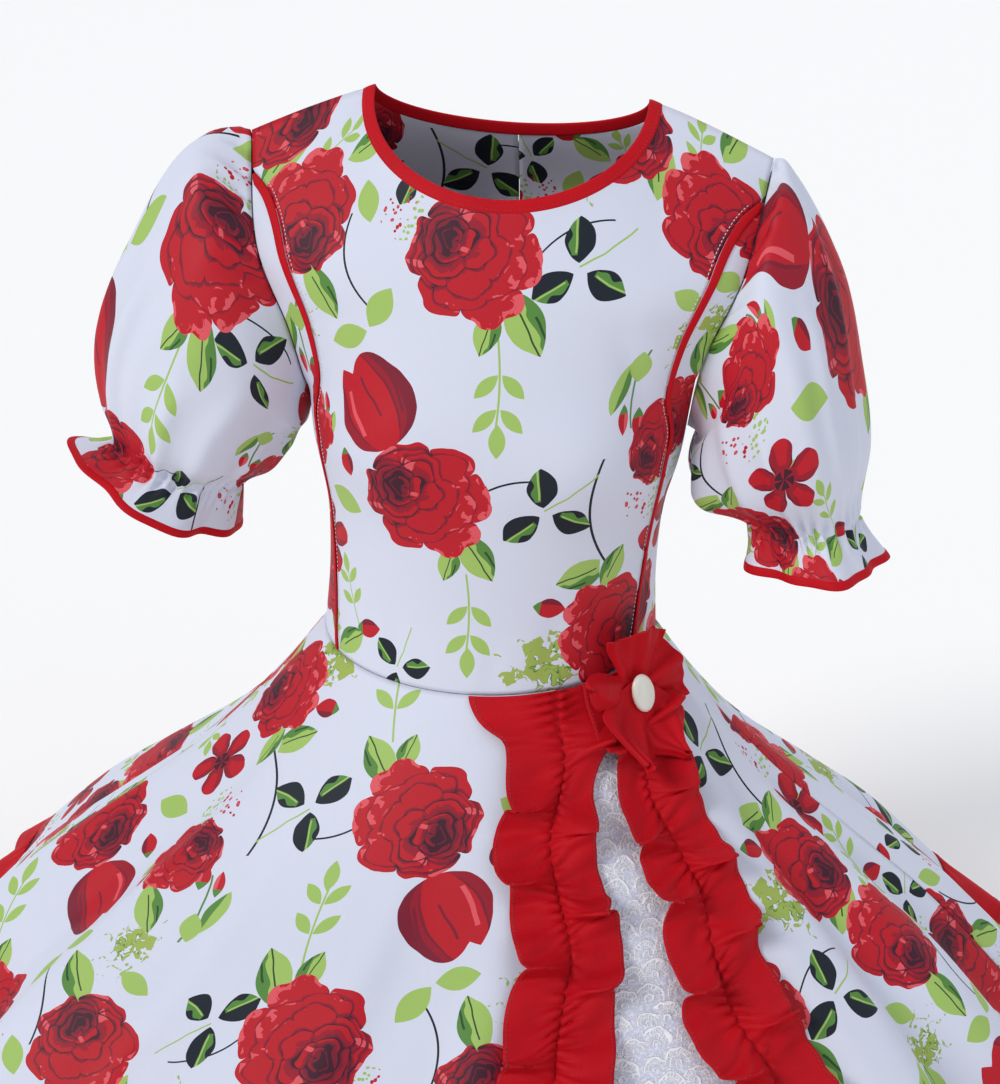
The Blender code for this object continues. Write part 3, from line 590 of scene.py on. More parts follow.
def unit(vectors):
    """Vectors brought to length one."""
    return vectors / np.linalg.norm(vectors, axis=-1, keepdims=True)


def bodice(facing, u, v):
    """Outer surface of the front (facing -1) or back (+1), u across and v up from the waist: lofted
    arcs that end in the shoulder and neck line, rounded over the bust, and leaned a little."""
    rows = FRONT if facing < 0 else BACK
    column = {name: values.reshape(-1, *[1] * u.ndim) for name, values in rows.items()}
    wrap = np.radians(column["wrap"])
    middle = (np.cos(u * wrap) - np.cos(wrap)) / (1 - np.cos(wrap))
    x = column["half"] * np.sin(u * wrap) / np.sin(wrap)
    y = facing * (column["edge"] + (column["depth"] - column["edge"]) * middle)
    z = column["z_edge"] + (column["z_mid"] - column["z_edge"]) * middle

    drop, out = (NECK_DROP_FRONT, NECK_OUT_FRONT) if facing < 0 else (NECK_DROP_BACK, NECK_OUT_BACK)
    swing = np.clip(u / NECK_SHARE, -1, 1) * np.pi / 2
    along = np.clip((abs(u) - NECK_SHARE) / (1 - NECK_SHARE), 0, 1)
    top_x = NECK_HALF * np.sin(swing) + np.sign(u) * along * (SHOULDER_HALF - NECK_HALF)
    top_z = -drop * np.cos(swing) - SHOULDER_DROP * along**1.15
    top = np.stack([top_x, facing * out * np.cos(swing), top_z], -1)
    point = loft(np.append(rows["at"], 1.0), np.concatenate([np.stack([x, y, z], -1), top[None]]), v)
    if facing < 0:
        across = (abs(point[..., 0]) - BUST_X) / BUST_SPREAD
        upward = (point[..., 2] - BUST_Z) / BUST_SPREAD
        point[..., 1] -= BUST_OUT * np.exp(-(across**2) - upward**2)
    fade = np.clip((point[..., 2] - WAIST_Z) / 0.1, 0, 1)
    above = np.maximum(point[..., 2], WAIST_Z)
    lean_x = point[..., 0] + LEAN * above
    return np.stack([lean_x, point[..., 1], point[..., 2] - LEAN * point[..., 0] * fade], -1)


def bodice_normal(facing, u, v):
    """Outward normal of the bodice. Front and back share one at the shoulder seam."""
    step = 1e-3
    across = bodice(facing, u + step, v) - bodice(facing, u - step, v)
    upward = bodice(facing, u, np.minimum(v + step, 1)) - bodice(facing, u, v - step)
    normal = unit(np.cross(across, upward) * -facing)
    seam = ramp(v, 0.90, 0.995) * (abs(u) > NECK_SHARE - 0.02)
    normal[..., 1] *= 1 - seam
    return unit(normal)


def lay_flat(points, middle=None, origin=(0.0, 0.0), upright=False):
    """A panel's cut: each row's own length out from its middle column, and the length up it. Upright
    cloth keeps the height that a row gains or loses as height, and not as width."""
    middle = points.shape[1] // 2 if middle is None else middle
    steps = np.diff(points, axis=1)
    steps = np.linalg.norm(steps[..., :2] if upright else steps, axis=-1)
    across = np.concatenate([np.zeros((len(points), 1)), np.cumsum(steps, 1)], 1)
    across -= across[:, middle : middle + 1]
    rises = np.linalg.norm(np.diff(points[:, middle], axis=0), axis=-1)
    up = np.concatenate([[0.0], np.cumsum(rises)])[:, None] * np.ones_like(across)
    if upright:
        up += points[..., 2] - points[:, middle : middle + 1, 2]
    return np.stack([across + origin[0], up + origin[1]], -1)


def creases(flat, *rows):
    """Soft troughs in metres. A row has its middle, heading in degrees, half length, width and depth:
    a bell across it, and a raised cosine along it. A negative depth is a ridge."""
    total = np.zeros(flat.shape[:2])
    for x, y, heading, long, wide, deep in rows:
        swing = np.radians(heading)
        along = (flat[..., 0] - x) * np.cos(swing) + (flat[..., 1] - y) * np.sin(swing)
        across = (flat[..., 1] - y) * np.cos(swing) - (flat[..., 0] - x) * np.sin(swing)
        fade = np.cos(np.clip(along / long, -1, 1) * np.pi / 2) ** 2
        total -= deep * np.exp(-((across / wide) ** 2)) * fade
    return total


def panel(name, points, flat, normal, finish, thick=CLOTH_WALL, loop=False, ring=False):
    """A thin panel: quads over a grid of points, wound to face along normal, with its cut as UV map,
    the print's right side out, and thickened inwards. A loop joins the last column to the first, and
    a ring the last row."""
    rows, columns = points.shape[:2]
    index = np.arange(rows * columns).reshape(rows, columns)
    place = np.arange(flat.shape[0] * flat.shape[1]).reshape(flat.shape[:2])
    if loop:
        index = np.column_stack([index, index[:, 0]])
    if ring:
        index = np.vstack([index, index[:1]])

    def corners(grid):
        quads = np.stack([grid[:-1, :-1], grid[:-1, 1:], grid[1:, 1:], grid[1:, :-1]], -1)
        return quads.reshape(-1, 4)

    quads, cuts = corners(index), corners(place)
    flat_points = points.reshape(-1, 3)
    one, two, three = (flat_points[quads[:, at]] for at in (0, 1, 2))
    facing = (np.cross(two - one, three - one) * normal.reshape(-1, 3)[quads[:, 0]]).sum()
    laid = flat.reshape(-1, 2)
    one, two, three = (laid[cuts[:, at]] for at in (0, 1, 2))
    right_side = ((two - one)[:, 0] * (three - one)[:, 1] - (two - one)[:, 1] * (three - one)[:, 0]).sum()
    if facing * right_side < 0:
        laid = laid * (-1.0, 1.0)
    if facing < 0:
        quads, cuts = quads[:, ::-1], cuts[:, ::-1]
    mesh = bpy.data.meshes.new(name)
    mesh.from_pydata(flat_points.tolist(), [], quads.tolist(), shade_flat=False)
    layer = mesh.uv_layers.new(name="cut")
    layer.data.foreach_set("uv", laid[cuts.reshape(-1)].astype(np.float32).ravel())
    mesh.materials.append(finish)
    piece = bpy.data.objects.new(name, mesh)
    bpy.context.scene.collection.objects.link(piece)
    if thick:
        shell = piece.modifiers.new("cloth", "SOLIDIFY")
        shell.thickness = thick
        shell.offset = -1.0
    return piece


def sew(piece, nodes):
    """Join a piece to the dress in place of its solids."""
    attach(piece, "root")
    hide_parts(*nodes)


def strip(left, right, levels, columns):
    """Grids of both parameters, between a left and a right edge at each level."""
    across = np.linspace(0, 1, columns)
    left = np.broadcast_to(left, levels.shape)
    right = np.broadcast_to(right, levels.shape)
    u = left[:, None] + (right - left)[:, None] * across
    return u, np.broadcast_to(levels[:, None], u.shape).copy()


FRONT_CREASES = (
    (-0.105, 0.215, 62, 0.070, 0.010, 0.0022), (0.104, 0.225, 116, 0.075, 0.011, 0.0024),
    (-0.088, 0.195, 48, 0.050, 0.007, 0.0012), (-0.060, 0.030, 96, 0.055, 0.009, 0.0014),
    (0.052, 0.025, 84, 0.050, 0.010, 0.0015), (0.012, 0.020, 92, 0.040, 0.008, 0.0010),
    (0.085, 0.060, 70, 0.045, 0.008, 0.0014), (0.030, 0.330, 20, 0.060, 0.012, 0.0010),
    (-0.050, 0.300, 155, 0.060, 0.014, 0.0010),
)
SIDE_CREASES = (
    (0.020, 0.190, 40, 0.045, 0.007, 0.0018), (0.026, 0.120, 105, 0.050, 0.008, 0.0014),
    (0.012, 0.050, 80, 0.045, 0.008, 0.0016), (0.034, 0.215, 20, 0.035, 0.006, 0.0014),
)
BACK_CREASES = (
    (0.030, 0.050, 96, 0.060, 0.010, 0.0020), (0.090, 0.045, 84, 0.055, 0.011, 0.0018),
    (0.135, 0.170, 40, 0.060, 0.010, 0.0022), (0.070, 0.250, 110, 0.080, 0.014, 0.0018),
    (0.012, 0.140, 88, 0.040, 0.005, 0.0012), (0.016, 0.250, 94, 0.050, 0.006, 0.0012),
    (0.110, 0.290, 130, 0.060, 0.012, 0.0016), (0.060, 0.130, 60, 0.050, 0.012, 0.0014),
)


def bodice_panel(name, facing, u, v, folds, middle, origin=(0.0, 0.0)):
    """One bodice panel with its creases, and its cut."""
    normal = bodice_normal(facing, u, v)
    points = bodice(facing, u, v)
    flat = lay_flat(points, middle, origin, upright=True)
    side = -1.0 if flat[..., 0].mean() < 0 and folds is not FRONT_CREASES else 1.0
    drawn = creases((flat - origin) * (side, 1.0), *folds)
    edge = ramp(v, 0.0, 0.04) * ramp(1 - v, 0.0, 0.04)
    points = points + normal * (drawn * edge)[..., None]
    piece = panel(name, points, flat, normal, print_cloth)
    sew(piece, [name])
    return points, normal


levels = np.linspace(0, 1 - SEAM_SHARE, 110)
seam = np.minimum(read(PRINCESS, "share", np.minimum(levels, PRINCESS_TOP)), PANEL_EDGE)
seam = np.where(levels >= PRINCESS_TOP, PANEL_EDGE, seam - SEAM_SHARE)
u, v = strip(-seam, seam, levels, 97)
front_points, front_normal = bodice_panel("front_centre", -1, u, v, FRONT_CREASES, 48)
seam_rows = levels < SIDE_FRONT_TOP
levels = np.linspace(0, SIDE_FRONT_TOP, 96)
seam = np.minimum(read(PRINCESS, "share", levels) + SEAM_SHARE, PANEL_EDGE - 0.010)
for side, word, origin in ((1, "left", (0.118, -0.010)), (-1, "right", (-0.118, -0.02))):
    u, v = strip(side * seam, side * PANEL_EDGE, levels, 26)
    bodice_panel("front_side_" + word, -1, u, v, SIDE_CREASES, 0, origin)
levels = np.linspace(0, 1 - SEAM_SHARE, 110)
for side, word, origin in ((1, "left", (0.05, 0.03)), (-1, "right", (0.02, 0.17))):
    u, v = strip(side * SEAM_SHARE, side * PANEL_EDGE, levels, 64)
    bodice_panel("back_" + word, 1, u, v, BACK_CREASES, 0, origin)


# The red trims of the bodice: flat piping let into each princess seam, and bias binding folded
# over the neckline. Red poplin, with white topstitching on the print cloth beside the piping.
TRIM_WALL = 0.0010
LIFT = 0.0003
BINDING_WIDE = 0.0075
BINDING_HALF = 0.0010
BINDING_LAP = 0.0022
STITCH_LONG = 0.0021
STITCH_STEP = 0.0031
STITCH_THICK = 0.00032
STITCH_LIFT = 0.0002

red_cloth, tree, shader = new_finish("red_poplin", 0.66)
shader.inputs["Specular IOR Level"].default_value = 0.16
at = use(tree, "ShaderNodeUVMap", ())
cloud, _ = noise(tree, at, 24.0, 3.0)
fleck, _ = noise(tree, at, 700.0, 1.0)
feed(tree, shader.inputs["Base Color"], chosen(
    tree, cloud * 0.7 + fleck * 0.5 + 0.5, ink(170, 6, 22), ink(202, 10, 26),
))
feed(tree, shader.inputs["Normal"], weave_bump(tree, 800.0, 0.00016))

white_thread, _ = mottled("white_thread", 0.45, 0.2, 900.0, 2.0, (214, 214, 222), (244, 244, 248))
red_thread, _ = mottled("red_thread", 0.5, 0.2, 900.0, 2.0, (120, 6, 18), (168, 12, 28))


def stitches(name, finish, lines):
    """A row of stitches along each line of points and normals: short flat lozenges, six sided, one
    every step, lying on the cloth."""
    points, faces, count = [], [], 0
    for path, normal in lines:
        steps = np.linalg.norm(np.diff(path, axis=0), axis=1)
        place = np.concatenate([[0.0], np.cumsum(steps)])
        spots = np.arange(STITCH_STEP / 2, place[-1] - STITCH_STEP / 2, STITCH_STEP)
        middle = np.stack([np.interp(spots, place, path[:, axis]) for axis in range(3)], -1)
        up = unit(np.stack([np.interp(spots, place, normal[:, axis]) for axis in range(3)], -1))
        ahead = np.stack([
            np.interp(spots + 1e-3, place, path[:, axis]) - np.interp(spots - 1e-3, place, path[:, axis])
            for axis in range(3)
        ], -1)
        ahead = unit(ahead - up * (ahead * up).sum(-1, keepdims=True))
        across = np.cross(up, ahead)
        ring = [
            middle + ahead * a * STITCH_LONG / 2 + across * b * STITCH_THICK + up * c * STITCH_THICK
            for a, b, c in (
                (-1, 0, 0), (-0.6, 1, 0.2), (0.6, 1, 0.2), (1, 0, 0), (0.6, -1, 0.2), (-0.6, -1, 0.2),
                (-0.5, 0, 1.1), (0.5, 0, 1.1),
            )
        ]
        grid = np.stack(ring, 1)
        points.append(grid.reshape(-1, 3))
        base = count + np.arange(len(spots))[:, None] * 8
        for face in ((0, 6, 1, 1), (1, 6, 7, 2), (2, 7, 3, 3), (3, 7, 4, 4), (4, 7, 6, 5), (5, 6, 0, 0),
                     (0, 1, 2, 3), (0, 3, 4, 5)):
            faces += [tuple(dict.fromkeys(row)) for row in (base + np.array(face)).tolist()]
        count += len(spots) * 8
    mesh = bpy.data.meshes.new(name)
    mesh.from_pydata(np.concatenate(points).tolist(), [], faces, shade_flat=False)
    mesh.materials.append(finish)
    piece = bpy.data.objects.new(name, mesh)
    bpy.context.scene.collection.objects.link(piece)
    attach(piece, "root")
    return piece


def crowned(surface, normal, across, thick):
    """A strip raised in a low crown: points moved out along normal by thick times the fourth-power
    arch of across, which runs from -1 to 1."""
    return surface + normal * (thick * (1 - 0.35 * across**4))[..., None]


seam_lines = []
for side, word in ((1, "left"), (-1, "right")):
    levels = np.linspace(0, SIDE_FRONT_TOP, 120)
    seam = np.minimum(read(PRINCESS, "share", levels) + SEAM_SHARE, PANEL_EDGE - 0.016)
    piped = np.minimum(seam + read(PRINCESS, "piping", levels) / 0.185, PANEL_EDGE - 0.004)
    u, v = strip(side * (seam - 0.0008), side * piped, levels, 9)
    normal = bodice_normal(-1, u, v)
    across = np.broadcast_to(np.linspace(-1, 1, 9), u.shape)
    points = crowned(bodice(-1, u, v), normal, across, LIFT + TRIM_WALL)
    flat = lay_flat(points)
    piece = panel("piping_" + word, points, flat, normal, red_cloth, TRIM_WALL)
    sew(piece, ["piping_" + word])
    column = -2 if side > 0 else 1
    normal = front_normal[seam_rows, column]
    seam_lines.append((front_points[seam_rows, column] + normal * STITCH_LIFT, normal))
stitches("princess_topstitch", white_thread, seam_lines)

NECK_COUNT = 120
swing = np.linspace(-1, 1, NECK_COUNT + 1)
front = bodice(-1, swing * NECK_SHARE, np.ones(NECK_COUNT + 1))
back = bodice(1, swing[::-1] * NECK_SHARE, np.ones(NECK_COUNT + 1))
edge = np.concatenate([front[:-1], back[:-1]])
phase = np.concatenate([swing[:-1], swing[::-1][:-1]]) * np.pi / 2
facing = np.repeat([-1.0, 1.0], NECK_COUNT)
middle, side = np.cos(phase), np.sin(phase)
back_in = np.where(facing < 0, 0.45, 0.30) * middle
inward = unit(np.stack([-0.93 * side, -facing * back_in, 0.37 * abs(side) + 0.9 * middle], -1))
normal = unit(np.cross(np.roll(edge, -1, 0) - np.roll(edge, 1, 0), inward))


def band(name, edge, inward, normal, wide, half):
    """A folded binding that laps an edge and carries it on inwards: round the edge, an oblong section
    with rounded corners, and its cut, which is its whole girth."""
    around = np.linspace(0, 2 * np.pi, 17)
    wide = wide + BINDING_LAP
    reach = -BINDING_LAP + wide * (0.5 - 0.5 * np.sign(np.cos(around)) * abs(np.cos(around)) ** 0.8)
    high = np.sign(np.sin(around)) * abs(np.sin(around)) ** 0.55 * half * 1.1 - CLOTH_WALL / 2
    points = edge[:, None] + inward[:, None] * reach[:, None] + normal[:, None] * high[:, None]
    closed = np.concatenate([points, points[:1]])
    flat = lay_flat(closed, 0)
    outward = points - (edge + inward * (wide / 2 - BINDING_LAP))[:, None]
    piece = panel(name, points[:, :-1], flat, outward[:, :-1], red_cloth, 0.0, loop=True, ring=True)
    sew(piece, [name])


band("neck_binding", edge, inward, normal, BINDING_WIDE, BINDING_HALF)
closing = np.append(np.arange(len(edge)), 0)
stitches("neck_topstitch", red_thread, [(
    (edge + inward * 0.0004 + normal * (BINDING_HALF * 0.86 - CLOTH_WALL / 2))[closing],
    normal[closing],
)])


# The sleeves. Each is a puffed tube of print cloth, eased into the armhole, gathered by an elastic
# line above its frill, with a folded red binding round the frill's edge.
SLEEVE_LEFT = table(
    "at    x      y       z       reach   depth  tilt  fold",
    (0.14, 0.161, 0.000, -0.139, 0.0975, 0.066, 16, 0.0015),
    (0.36, 0.178, -0.002, -0.175, 0.0780, 0.073, 37, 0.0030),
    (0.60, 0.188, -0.004, -0.222, 0.0680, 0.071, 54, 0.0035),
    (0.82, 0.198, -0.005, -0.260, 0.0580, 0.063, 70, 0.0035),
    (1.00, 0.211, -0.005, -0.291, 0.0385, 0.045, 88, 0.0010),
    (1.10, 0.215, -0.006, -0.303, 0.0405, 0.048, 88, 0.0030),
    (1.30, 0.222, -0.007, -0.325, 0.0480, 0.057, 88, 0.0055),
)
SLEEVE_RIGHT = table(
    "at    x      y       z       reach   depth  tilt  fold",
    (0.14, 0.182, 0.000, -0.131, 0.1050, 0.068, 18, 0.0015),
    (0.36, 0.210, -0.002, -0.171, 0.0866, 0.074, 39, 0.0030),
    (0.60, 0.229, -0.004, -0.209, 0.0760, 0.072, 55, 0.0035),
    (0.82, 0.237, -0.005, -0.243, 0.0615, 0.063, 65, 0.0035),
    (1.00, 0.245, -0.005, -0.2650, 0.0475, 0.046, 70, 0.0010),
    (1.10, 0.251, -0.006, -0.2720, 0.0530, 0.051, 66, 0.0030),
    (1.30, 0.264, -0.008, -0.2860, 0.0660, 0.062, 58, 0.0060),
)
SLEEVE_FOLDS = 9
FRILL_EDGE = 1.26
FRILL_END = 1.30
# Long soft folds of a sleeve: turn round it, its half width in degrees, where it starts and ends
# along the sleeve, and its height.
SLEEVE_RIDGES = (
    (18, 7, 0.05, 0.95, 0.0034), (44, 6, 0.25, 1.00, 0.0042), (71, 8, 0.10, 0.90, 0.0030),
    (96, 6, 0.40, 1.00, 0.0044), (121, 7, 0.20, 1.00, 0.0034), (150, 8, 0.45, 1.00, 0.0040),
    (186, 7, 0.30, 1.00, 0.0036), (214, 7, 0.15, 0.95, 0.0030), (243, 6, 0.35, 1.00, 0.0042),
    (272, 8, 0.10, 0.90, 0.0030), (301, 6, 0.30, 1.00, 0.0044), (333, 7, 0.05, 0.95, 0.0034),
)
GATHERS = 30
CAP_GATHERS = 26
# A sleeve is laid flat about its front column, and its cut is as wide as its widest row.
SLEEVE_FRONT = 216
SLEEVE_WIDEST = 33


def armhole(side, turn):
    """The armhole's edge: turn is 0 at the shoulder, 90 in front, 180 under the arm."""
    down = np.clip(1 - abs(turn - 180) / 180, 0, 1)
    v = 1 - (1 - ARMPIT_AT) * down
    edge = np.full_like(turn, side)
    return np.where((turn <= 180)[..., None], bodice(-1, edge, v), bodice(1, edge, v))


def sleeve(side, rows, turn, t):
    """A sleeve's outer surface: leaning ovals with long waves, lofted from the armhole's edge to the
    frill, turn round it in degrees."""
    column = {name: values.reshape(-1, *[1] * turn.ndim) for name, values in rows.items()}
    angle = np.radians(turn)
    tilt = np.radians(column["tilt"])
    wave = column["fold"] * (np.cos(SLEEVE_FOLDS * angle + 0.7 * side) * 0.35 + np.cos(4 * angle + side))
    reach = (column["reach"] + wave) * np.cos(angle)
    x = side * (column["x"] + reach * np.sin(tilt))
    y = column["y"] - (column["depth"] + wave) * np.sin(angle)
    z = column["z"] + reach * np.cos(tilt)
    start = armhole(side, turn % 360) + np.array([side * 0.0007, 0, 0])
    sections = np.concatenate([start[None], np.stack([x, y, z], -1)])
    return loft(np.append(0.0, rows["at"]), sections, t)


def surface_normal(surface, a, b, step=1e-4):
    """Unit normal of a surface of two parameters, from small steps along both."""
    along_a = surface(a + step, b) - surface(a - step, b)
    along_b = surface(a, b + step) - surface(a, b - step)
    return unit(np.cross(along_a, along_b))


def sleeve_folds(side, turn, t):
    """How far a sleeve's cloth stands out: long ridges, eased pleats at the cap, and fine gathers on
    both sides of the elastic line, whose depth and spacing wander."""
    lift = np.zeros_like(t)
    for place, wide, start, end, high in SLEEVE_RIDGES:
        place = place + side * 5 + 6 * np.sin(3 * t + place)
        away = (turn - place + 180) % 360 - 180
        along = ramp(t, start, start + 0.25) * (1 - ramp(t, end - 0.25, end + 0.05))
        lift += high * np.exp(-((away / wide) ** 2)) * along
    angle = np.radians(turn)
    wander = 0.9 * np.sin(3 * angle + side) + 0.7 * np.sin(7 * angle + 2)
    near = np.exp(-(((t - 1.0) / 0.085) ** 2))
    elastic = 1 - 0.75 * np.exp(-(((t - 1.0) / 0.012) ** 2))
    lift += 0.0033 * near * elastic * np.cos(GATHERS * angle + wander) * (0.75 + 0.25 * np.sin(5 * angle))
    over = ramp(np.cos(angle), -0.2, 0.5)
    cap = np.exp(-((t / 0.11) ** 2)) * ramp(t, 0.0, 0.02)
    lift += 0.0026 * cap * over * np.cos(CAP_GATHERS * angle + wander)
    return lift * ramp(t, 0.0, 0.03)


levels = np.concatenate([np.linspace(0, 0.9, 61)[:-1], np.linspace(0.9, FRILL_EDGE, 38)])
turns = np.linspace(-180, 180, 289)
for side, rows, word, origin in (
    (1, SLEEVE_LEFT, "left", (-0.152, 0.230)), (-1, SLEEVE_RIGHT, "right", (0.021, 0.343)),
):
    def surface(turn, t, side=side, rows=rows):
        return sleeve(side, rows, turn * 360, t)

    t, turn = np.meshgrid(levels, turns, indexing="ij")
    normal = surface_normal(surface, turn / 360, np.clip(t, 0.01, FRILL_END - 0.001)) * side
    points = surface(turn / 360, t) + normal * sleeve_folds(side, turn, t)[..., None]
    flat = lay_flat(points, SLEEVE_FRONT)
    widest = flat[SLEEVE_WIDEST, :, 0]
    flat[..., 0] = widest * (0.94 + 0.06 * flat[:, -1:, 0] / widest[-1])
    flat = flat * (1.0, -1.0) + origin
    piece = panel("sleeve_" + word, points[:, :-1], flat, normal[:, :-1], print_cloth, loop=True)
    sew(piece, ["sleeve_" + word])

    t = np.full(len(turns) - 1, FRILL_EDGE)
    turn = turns[:-1]
    normal = surface_normal(surface, turn / 360, t) * side
    ahead = unit(surface(turn / 360, t + 0.01) - surface(turn / 360, t))
    edge = surface(turn / 360, t)
    wide = float(np.linalg.norm(surface(np.zeros(1), np.array([FRILL_END])) - surface(
        np.zeros(1), np.array([FRILL_EDGE + 0.006]))))
    band("cuff_binding_" + word, edge, ahead, normal, wide, BINDING_HALF)


# The skirt. Four flared panels of print cloth, two fronts that part at the slit and two backs, hang
# from the waist seam in long soft folds, spread by the petticoat that such a dress is worn over.
SEAM = 0.0004
SKIRT_LONG = 0.42
SLIT_LEFT = -37.0
SLIT_RIGHT = -63.0
PANEL_GAP = 0.05
RIDGE_BELL = 0.62
RIDGE_SHARE = 0.7
FOLD_GAIN = 1.4
SLOPE = table(
    "at    reach  drop",
    (0.00, 0.000, 0.000),
    (0.15, 0.036, 0.047),
    (0.35, 0.090, 0.105),
    (0.60, 0.168, 0.168),
    (0.80, 0.234, 0.222),
    (1.00, 0.300, 0.290),
)
FLARE = table(
    "turn   heading  spread",
    (-180, -180, 1.10),
    (-125, -134, 1.04),
    (-90, -106, 1.00),
    (-63, -83.5, 1.00),
    (-37, -58.5, 0.98),
    (-18, -34, 0.97),
    (0, 0, 0.96),
    (45, 42, 0.99),
    (90, 90, 1.04),
    (135, 138, 1.08),
    (180, 180, 1.10),
)
RIDGES = table(
    "heading  wide  height",
    (-168, 11, 0.020),
    (-145, 10, 0.022),
    (-118, 12, 0.018),
    (-40, 9, 0.022),
    (-18, 10, 0.020),
    (6, 10, 0.024),
    (30, 11, 0.020),
    (54, 12, 0.026),
    (80, 11, 0.020),
    (105, 12, 0.026),
    (131, 11, 0.022),
    (156, 11, 0.022),
)
# Smaller folds between the ridges: heading at the waist and its drift by the hem, half width in
# degrees, where the fold starts down the skirt, and its height at the hem before FOLD_GAIN.
SKIRT_FOLDS = table(
    "heading  drift  wide  start  height",
    (-174, 3, 3.2, 0.10, 0.0050), (-156, -2, 2.8, 0.30, -0.0050), (-150, 4, 3.4, 0.05, 0.0040),
    (-132, -3, 3.8, 0.20, -0.0060), (-126, 2, 2.6, 0.45, 0.0045), (-108, -4, 3.4, 0.15, 0.0050),
    (-100, 3, 3.0, 0.50, -0.0045), (-92, -2, 3.4, 0.25, 0.0040), (-48, 3, 3.0, 0.20, 0.0045),
    (-29, -3, 3.2, 0.10, -0.0055), (-24, 2, 2.6, 0.40, 0.0040), (-8, 3, 3.4, 0.15, -0.0055),
    (15, -3, 3.0, 0.05, 0.0050), (20, 3, 3.2, 0.35, -0.0050), (41, 2, 3.6, 0.10, 0.0050),
    (46, -3, 3.0, 0.40, -0.0045), (67, 4, 3.4, 0.15, -0.0060), (72, -2, 2.8, 0.45, 0.0050),
    (88, 1, 2.6, 0.02, -0.0040), (96, -4, 3.2, 0.20, 0.0050), (117, 3, 3.4, 0.10, -0.0055),
    (122, -2, 2.8, 0.40, 0.0045), (143, 3, 3.4, 0.15, -0.0060), (148, -3, 3.0, 0.35, 0.0045),
    (168, 2, 3.2, 0.10, -0.0050), (174, -3, 2.8, 0.50, 0.0040),
)


def waist(turn):
    """The waist seam, an oval that dips in front: turn is 0 at the wearer's left, 90 at the back."""
    angle = np.radians(turn)
    front = np.sin(angle) < 0
    depth = np.where(front, FRONT["depth"][0], BACK["depth"][0])
    low = np.where(front, FRONT["z_mid"][0] - WAIST_Z, 0.0)
    x = FRONT["half"][0] * np.cos(angle) + LEAN * WAIST_Z
    return np.stack([x, depth * np.sin(angle), WAIST_Z + low * abs(np.sin(angle))], -1)


def skirt(turn, s):
    """The skirt's outer surface: from the waist seam at turn, out along its heading and down by the
    slope table at s, raised on bell-shaped ridges that grow towards the hem."""
    heading = read(FLARE, "heading", turn, "turn")
    spread = read(FLARE, "spread", turn, "turn")
    away = (heading[..., None] - RIDGES["heading"] + 180) % 360 - 180
    bump = RIDGES["height"] * np.exp(-((away / (RIDGES["wide"] * RIDGE_BELL)) ** 2))
    fold = (bump.sum(-1) - 0.010) * np.clip(s, 0, 1.3) ** 1.4
    reach = read(SLOPE, "reach", s) * spread + RIDGE_SHARE * fold
    drop = read(SLOPE, "drop", s) - RIDGE_SHARE * fold
    angle = np.radians(heading)
    out = np.stack([reach * np.cos(angle), reach * np.sin(angle), -drop - SEAM], -1)
    return waist(turn) + out


def skirt_normal(turn, s):
    """The skirt's outward normal."""
    across = skirt(turn + 0.05, s) - skirt(turn - 0.05, s)
    down = skirt(turn, s + 1e-3) - skirt(turn, s - 1e-3)
    return unit(np.cross(down, across))


def skirt_shell(turn, s, lift):
    """The skirt's surface moved out along its normal by lift."""
    return skirt(turn, s) + skirt_normal(turn, s) * np.asarray(lift)[..., None]


def skirt_folds(turn, s):
    """Height of the smaller folds: bells about a heading that drifts as they run down, which start
    softly and grow to the hem. They fade out at the slit, where the inset lies below."""
    heading = read(FLARE, "heading", turn, "turn")[..., None]
    place = SKIRT_FOLDS["heading"] + SKIRT_FOLDS["drift"] * s[..., None]
    away = (heading - place + 180) % 360 - 180
    bell = np.exp(-((away / SKIRT_FOLDS["wide"]) ** 2))
    grown = ramp(s[..., None], SKIRT_FOLDS["start"], SKIRT_FOLDS["start"] + 0.5)
    beside = np.minimum(abs(turn - SLIT_LEFT), abs(turn - SLIT_RIGHT))
    inset = (turn > SLIT_RIGHT) & (turn < SLIT_LEFT)
    clear = ramp(beside, 3.0, 10.0) * ~inset
    return (bell * grown * SKIRT_FOLDS["height"]).sum(-1) * clear * FOLD_GAIN


def fan_out(points, turn=0.0, origin=(0.0, 0.0)):
    """A flared panel's cut: an arc of a ring whose inner and outer lengths are the panel's own at the
    waist and hem, turned and moved on the cloth as the cutter laid it."""
    middle = points[:, points.shape[1] // 2]
    down = np.concatenate([[0.0], np.cumsum(np.linalg.norm(np.diff(middle, axis=0), axis=-1))])
    top, low = (
        np.concatenate([[0.0], np.cumsum(np.linalg.norm(np.diff(points[row], axis=0), axis=-1))])
        for row in (0, -1)
    )
    inner = top[-1] * down[-1] / (low[-1] - top[-1])
    swing = (low - low[-1] / 2) / (inner + down[-1])
    radius = (inner + down)[:, None]
    x = radius * np.sin(swing)
    y = inner - radius * np.cos(swing)
    angle = np.radians(turn)
    return np.stack([
        x * np.cos(angle) - y * np.sin(angle) + origin[0],
        x * np.sin(angle) + y * np.cos(angle) + origin[1],
    ], -1)


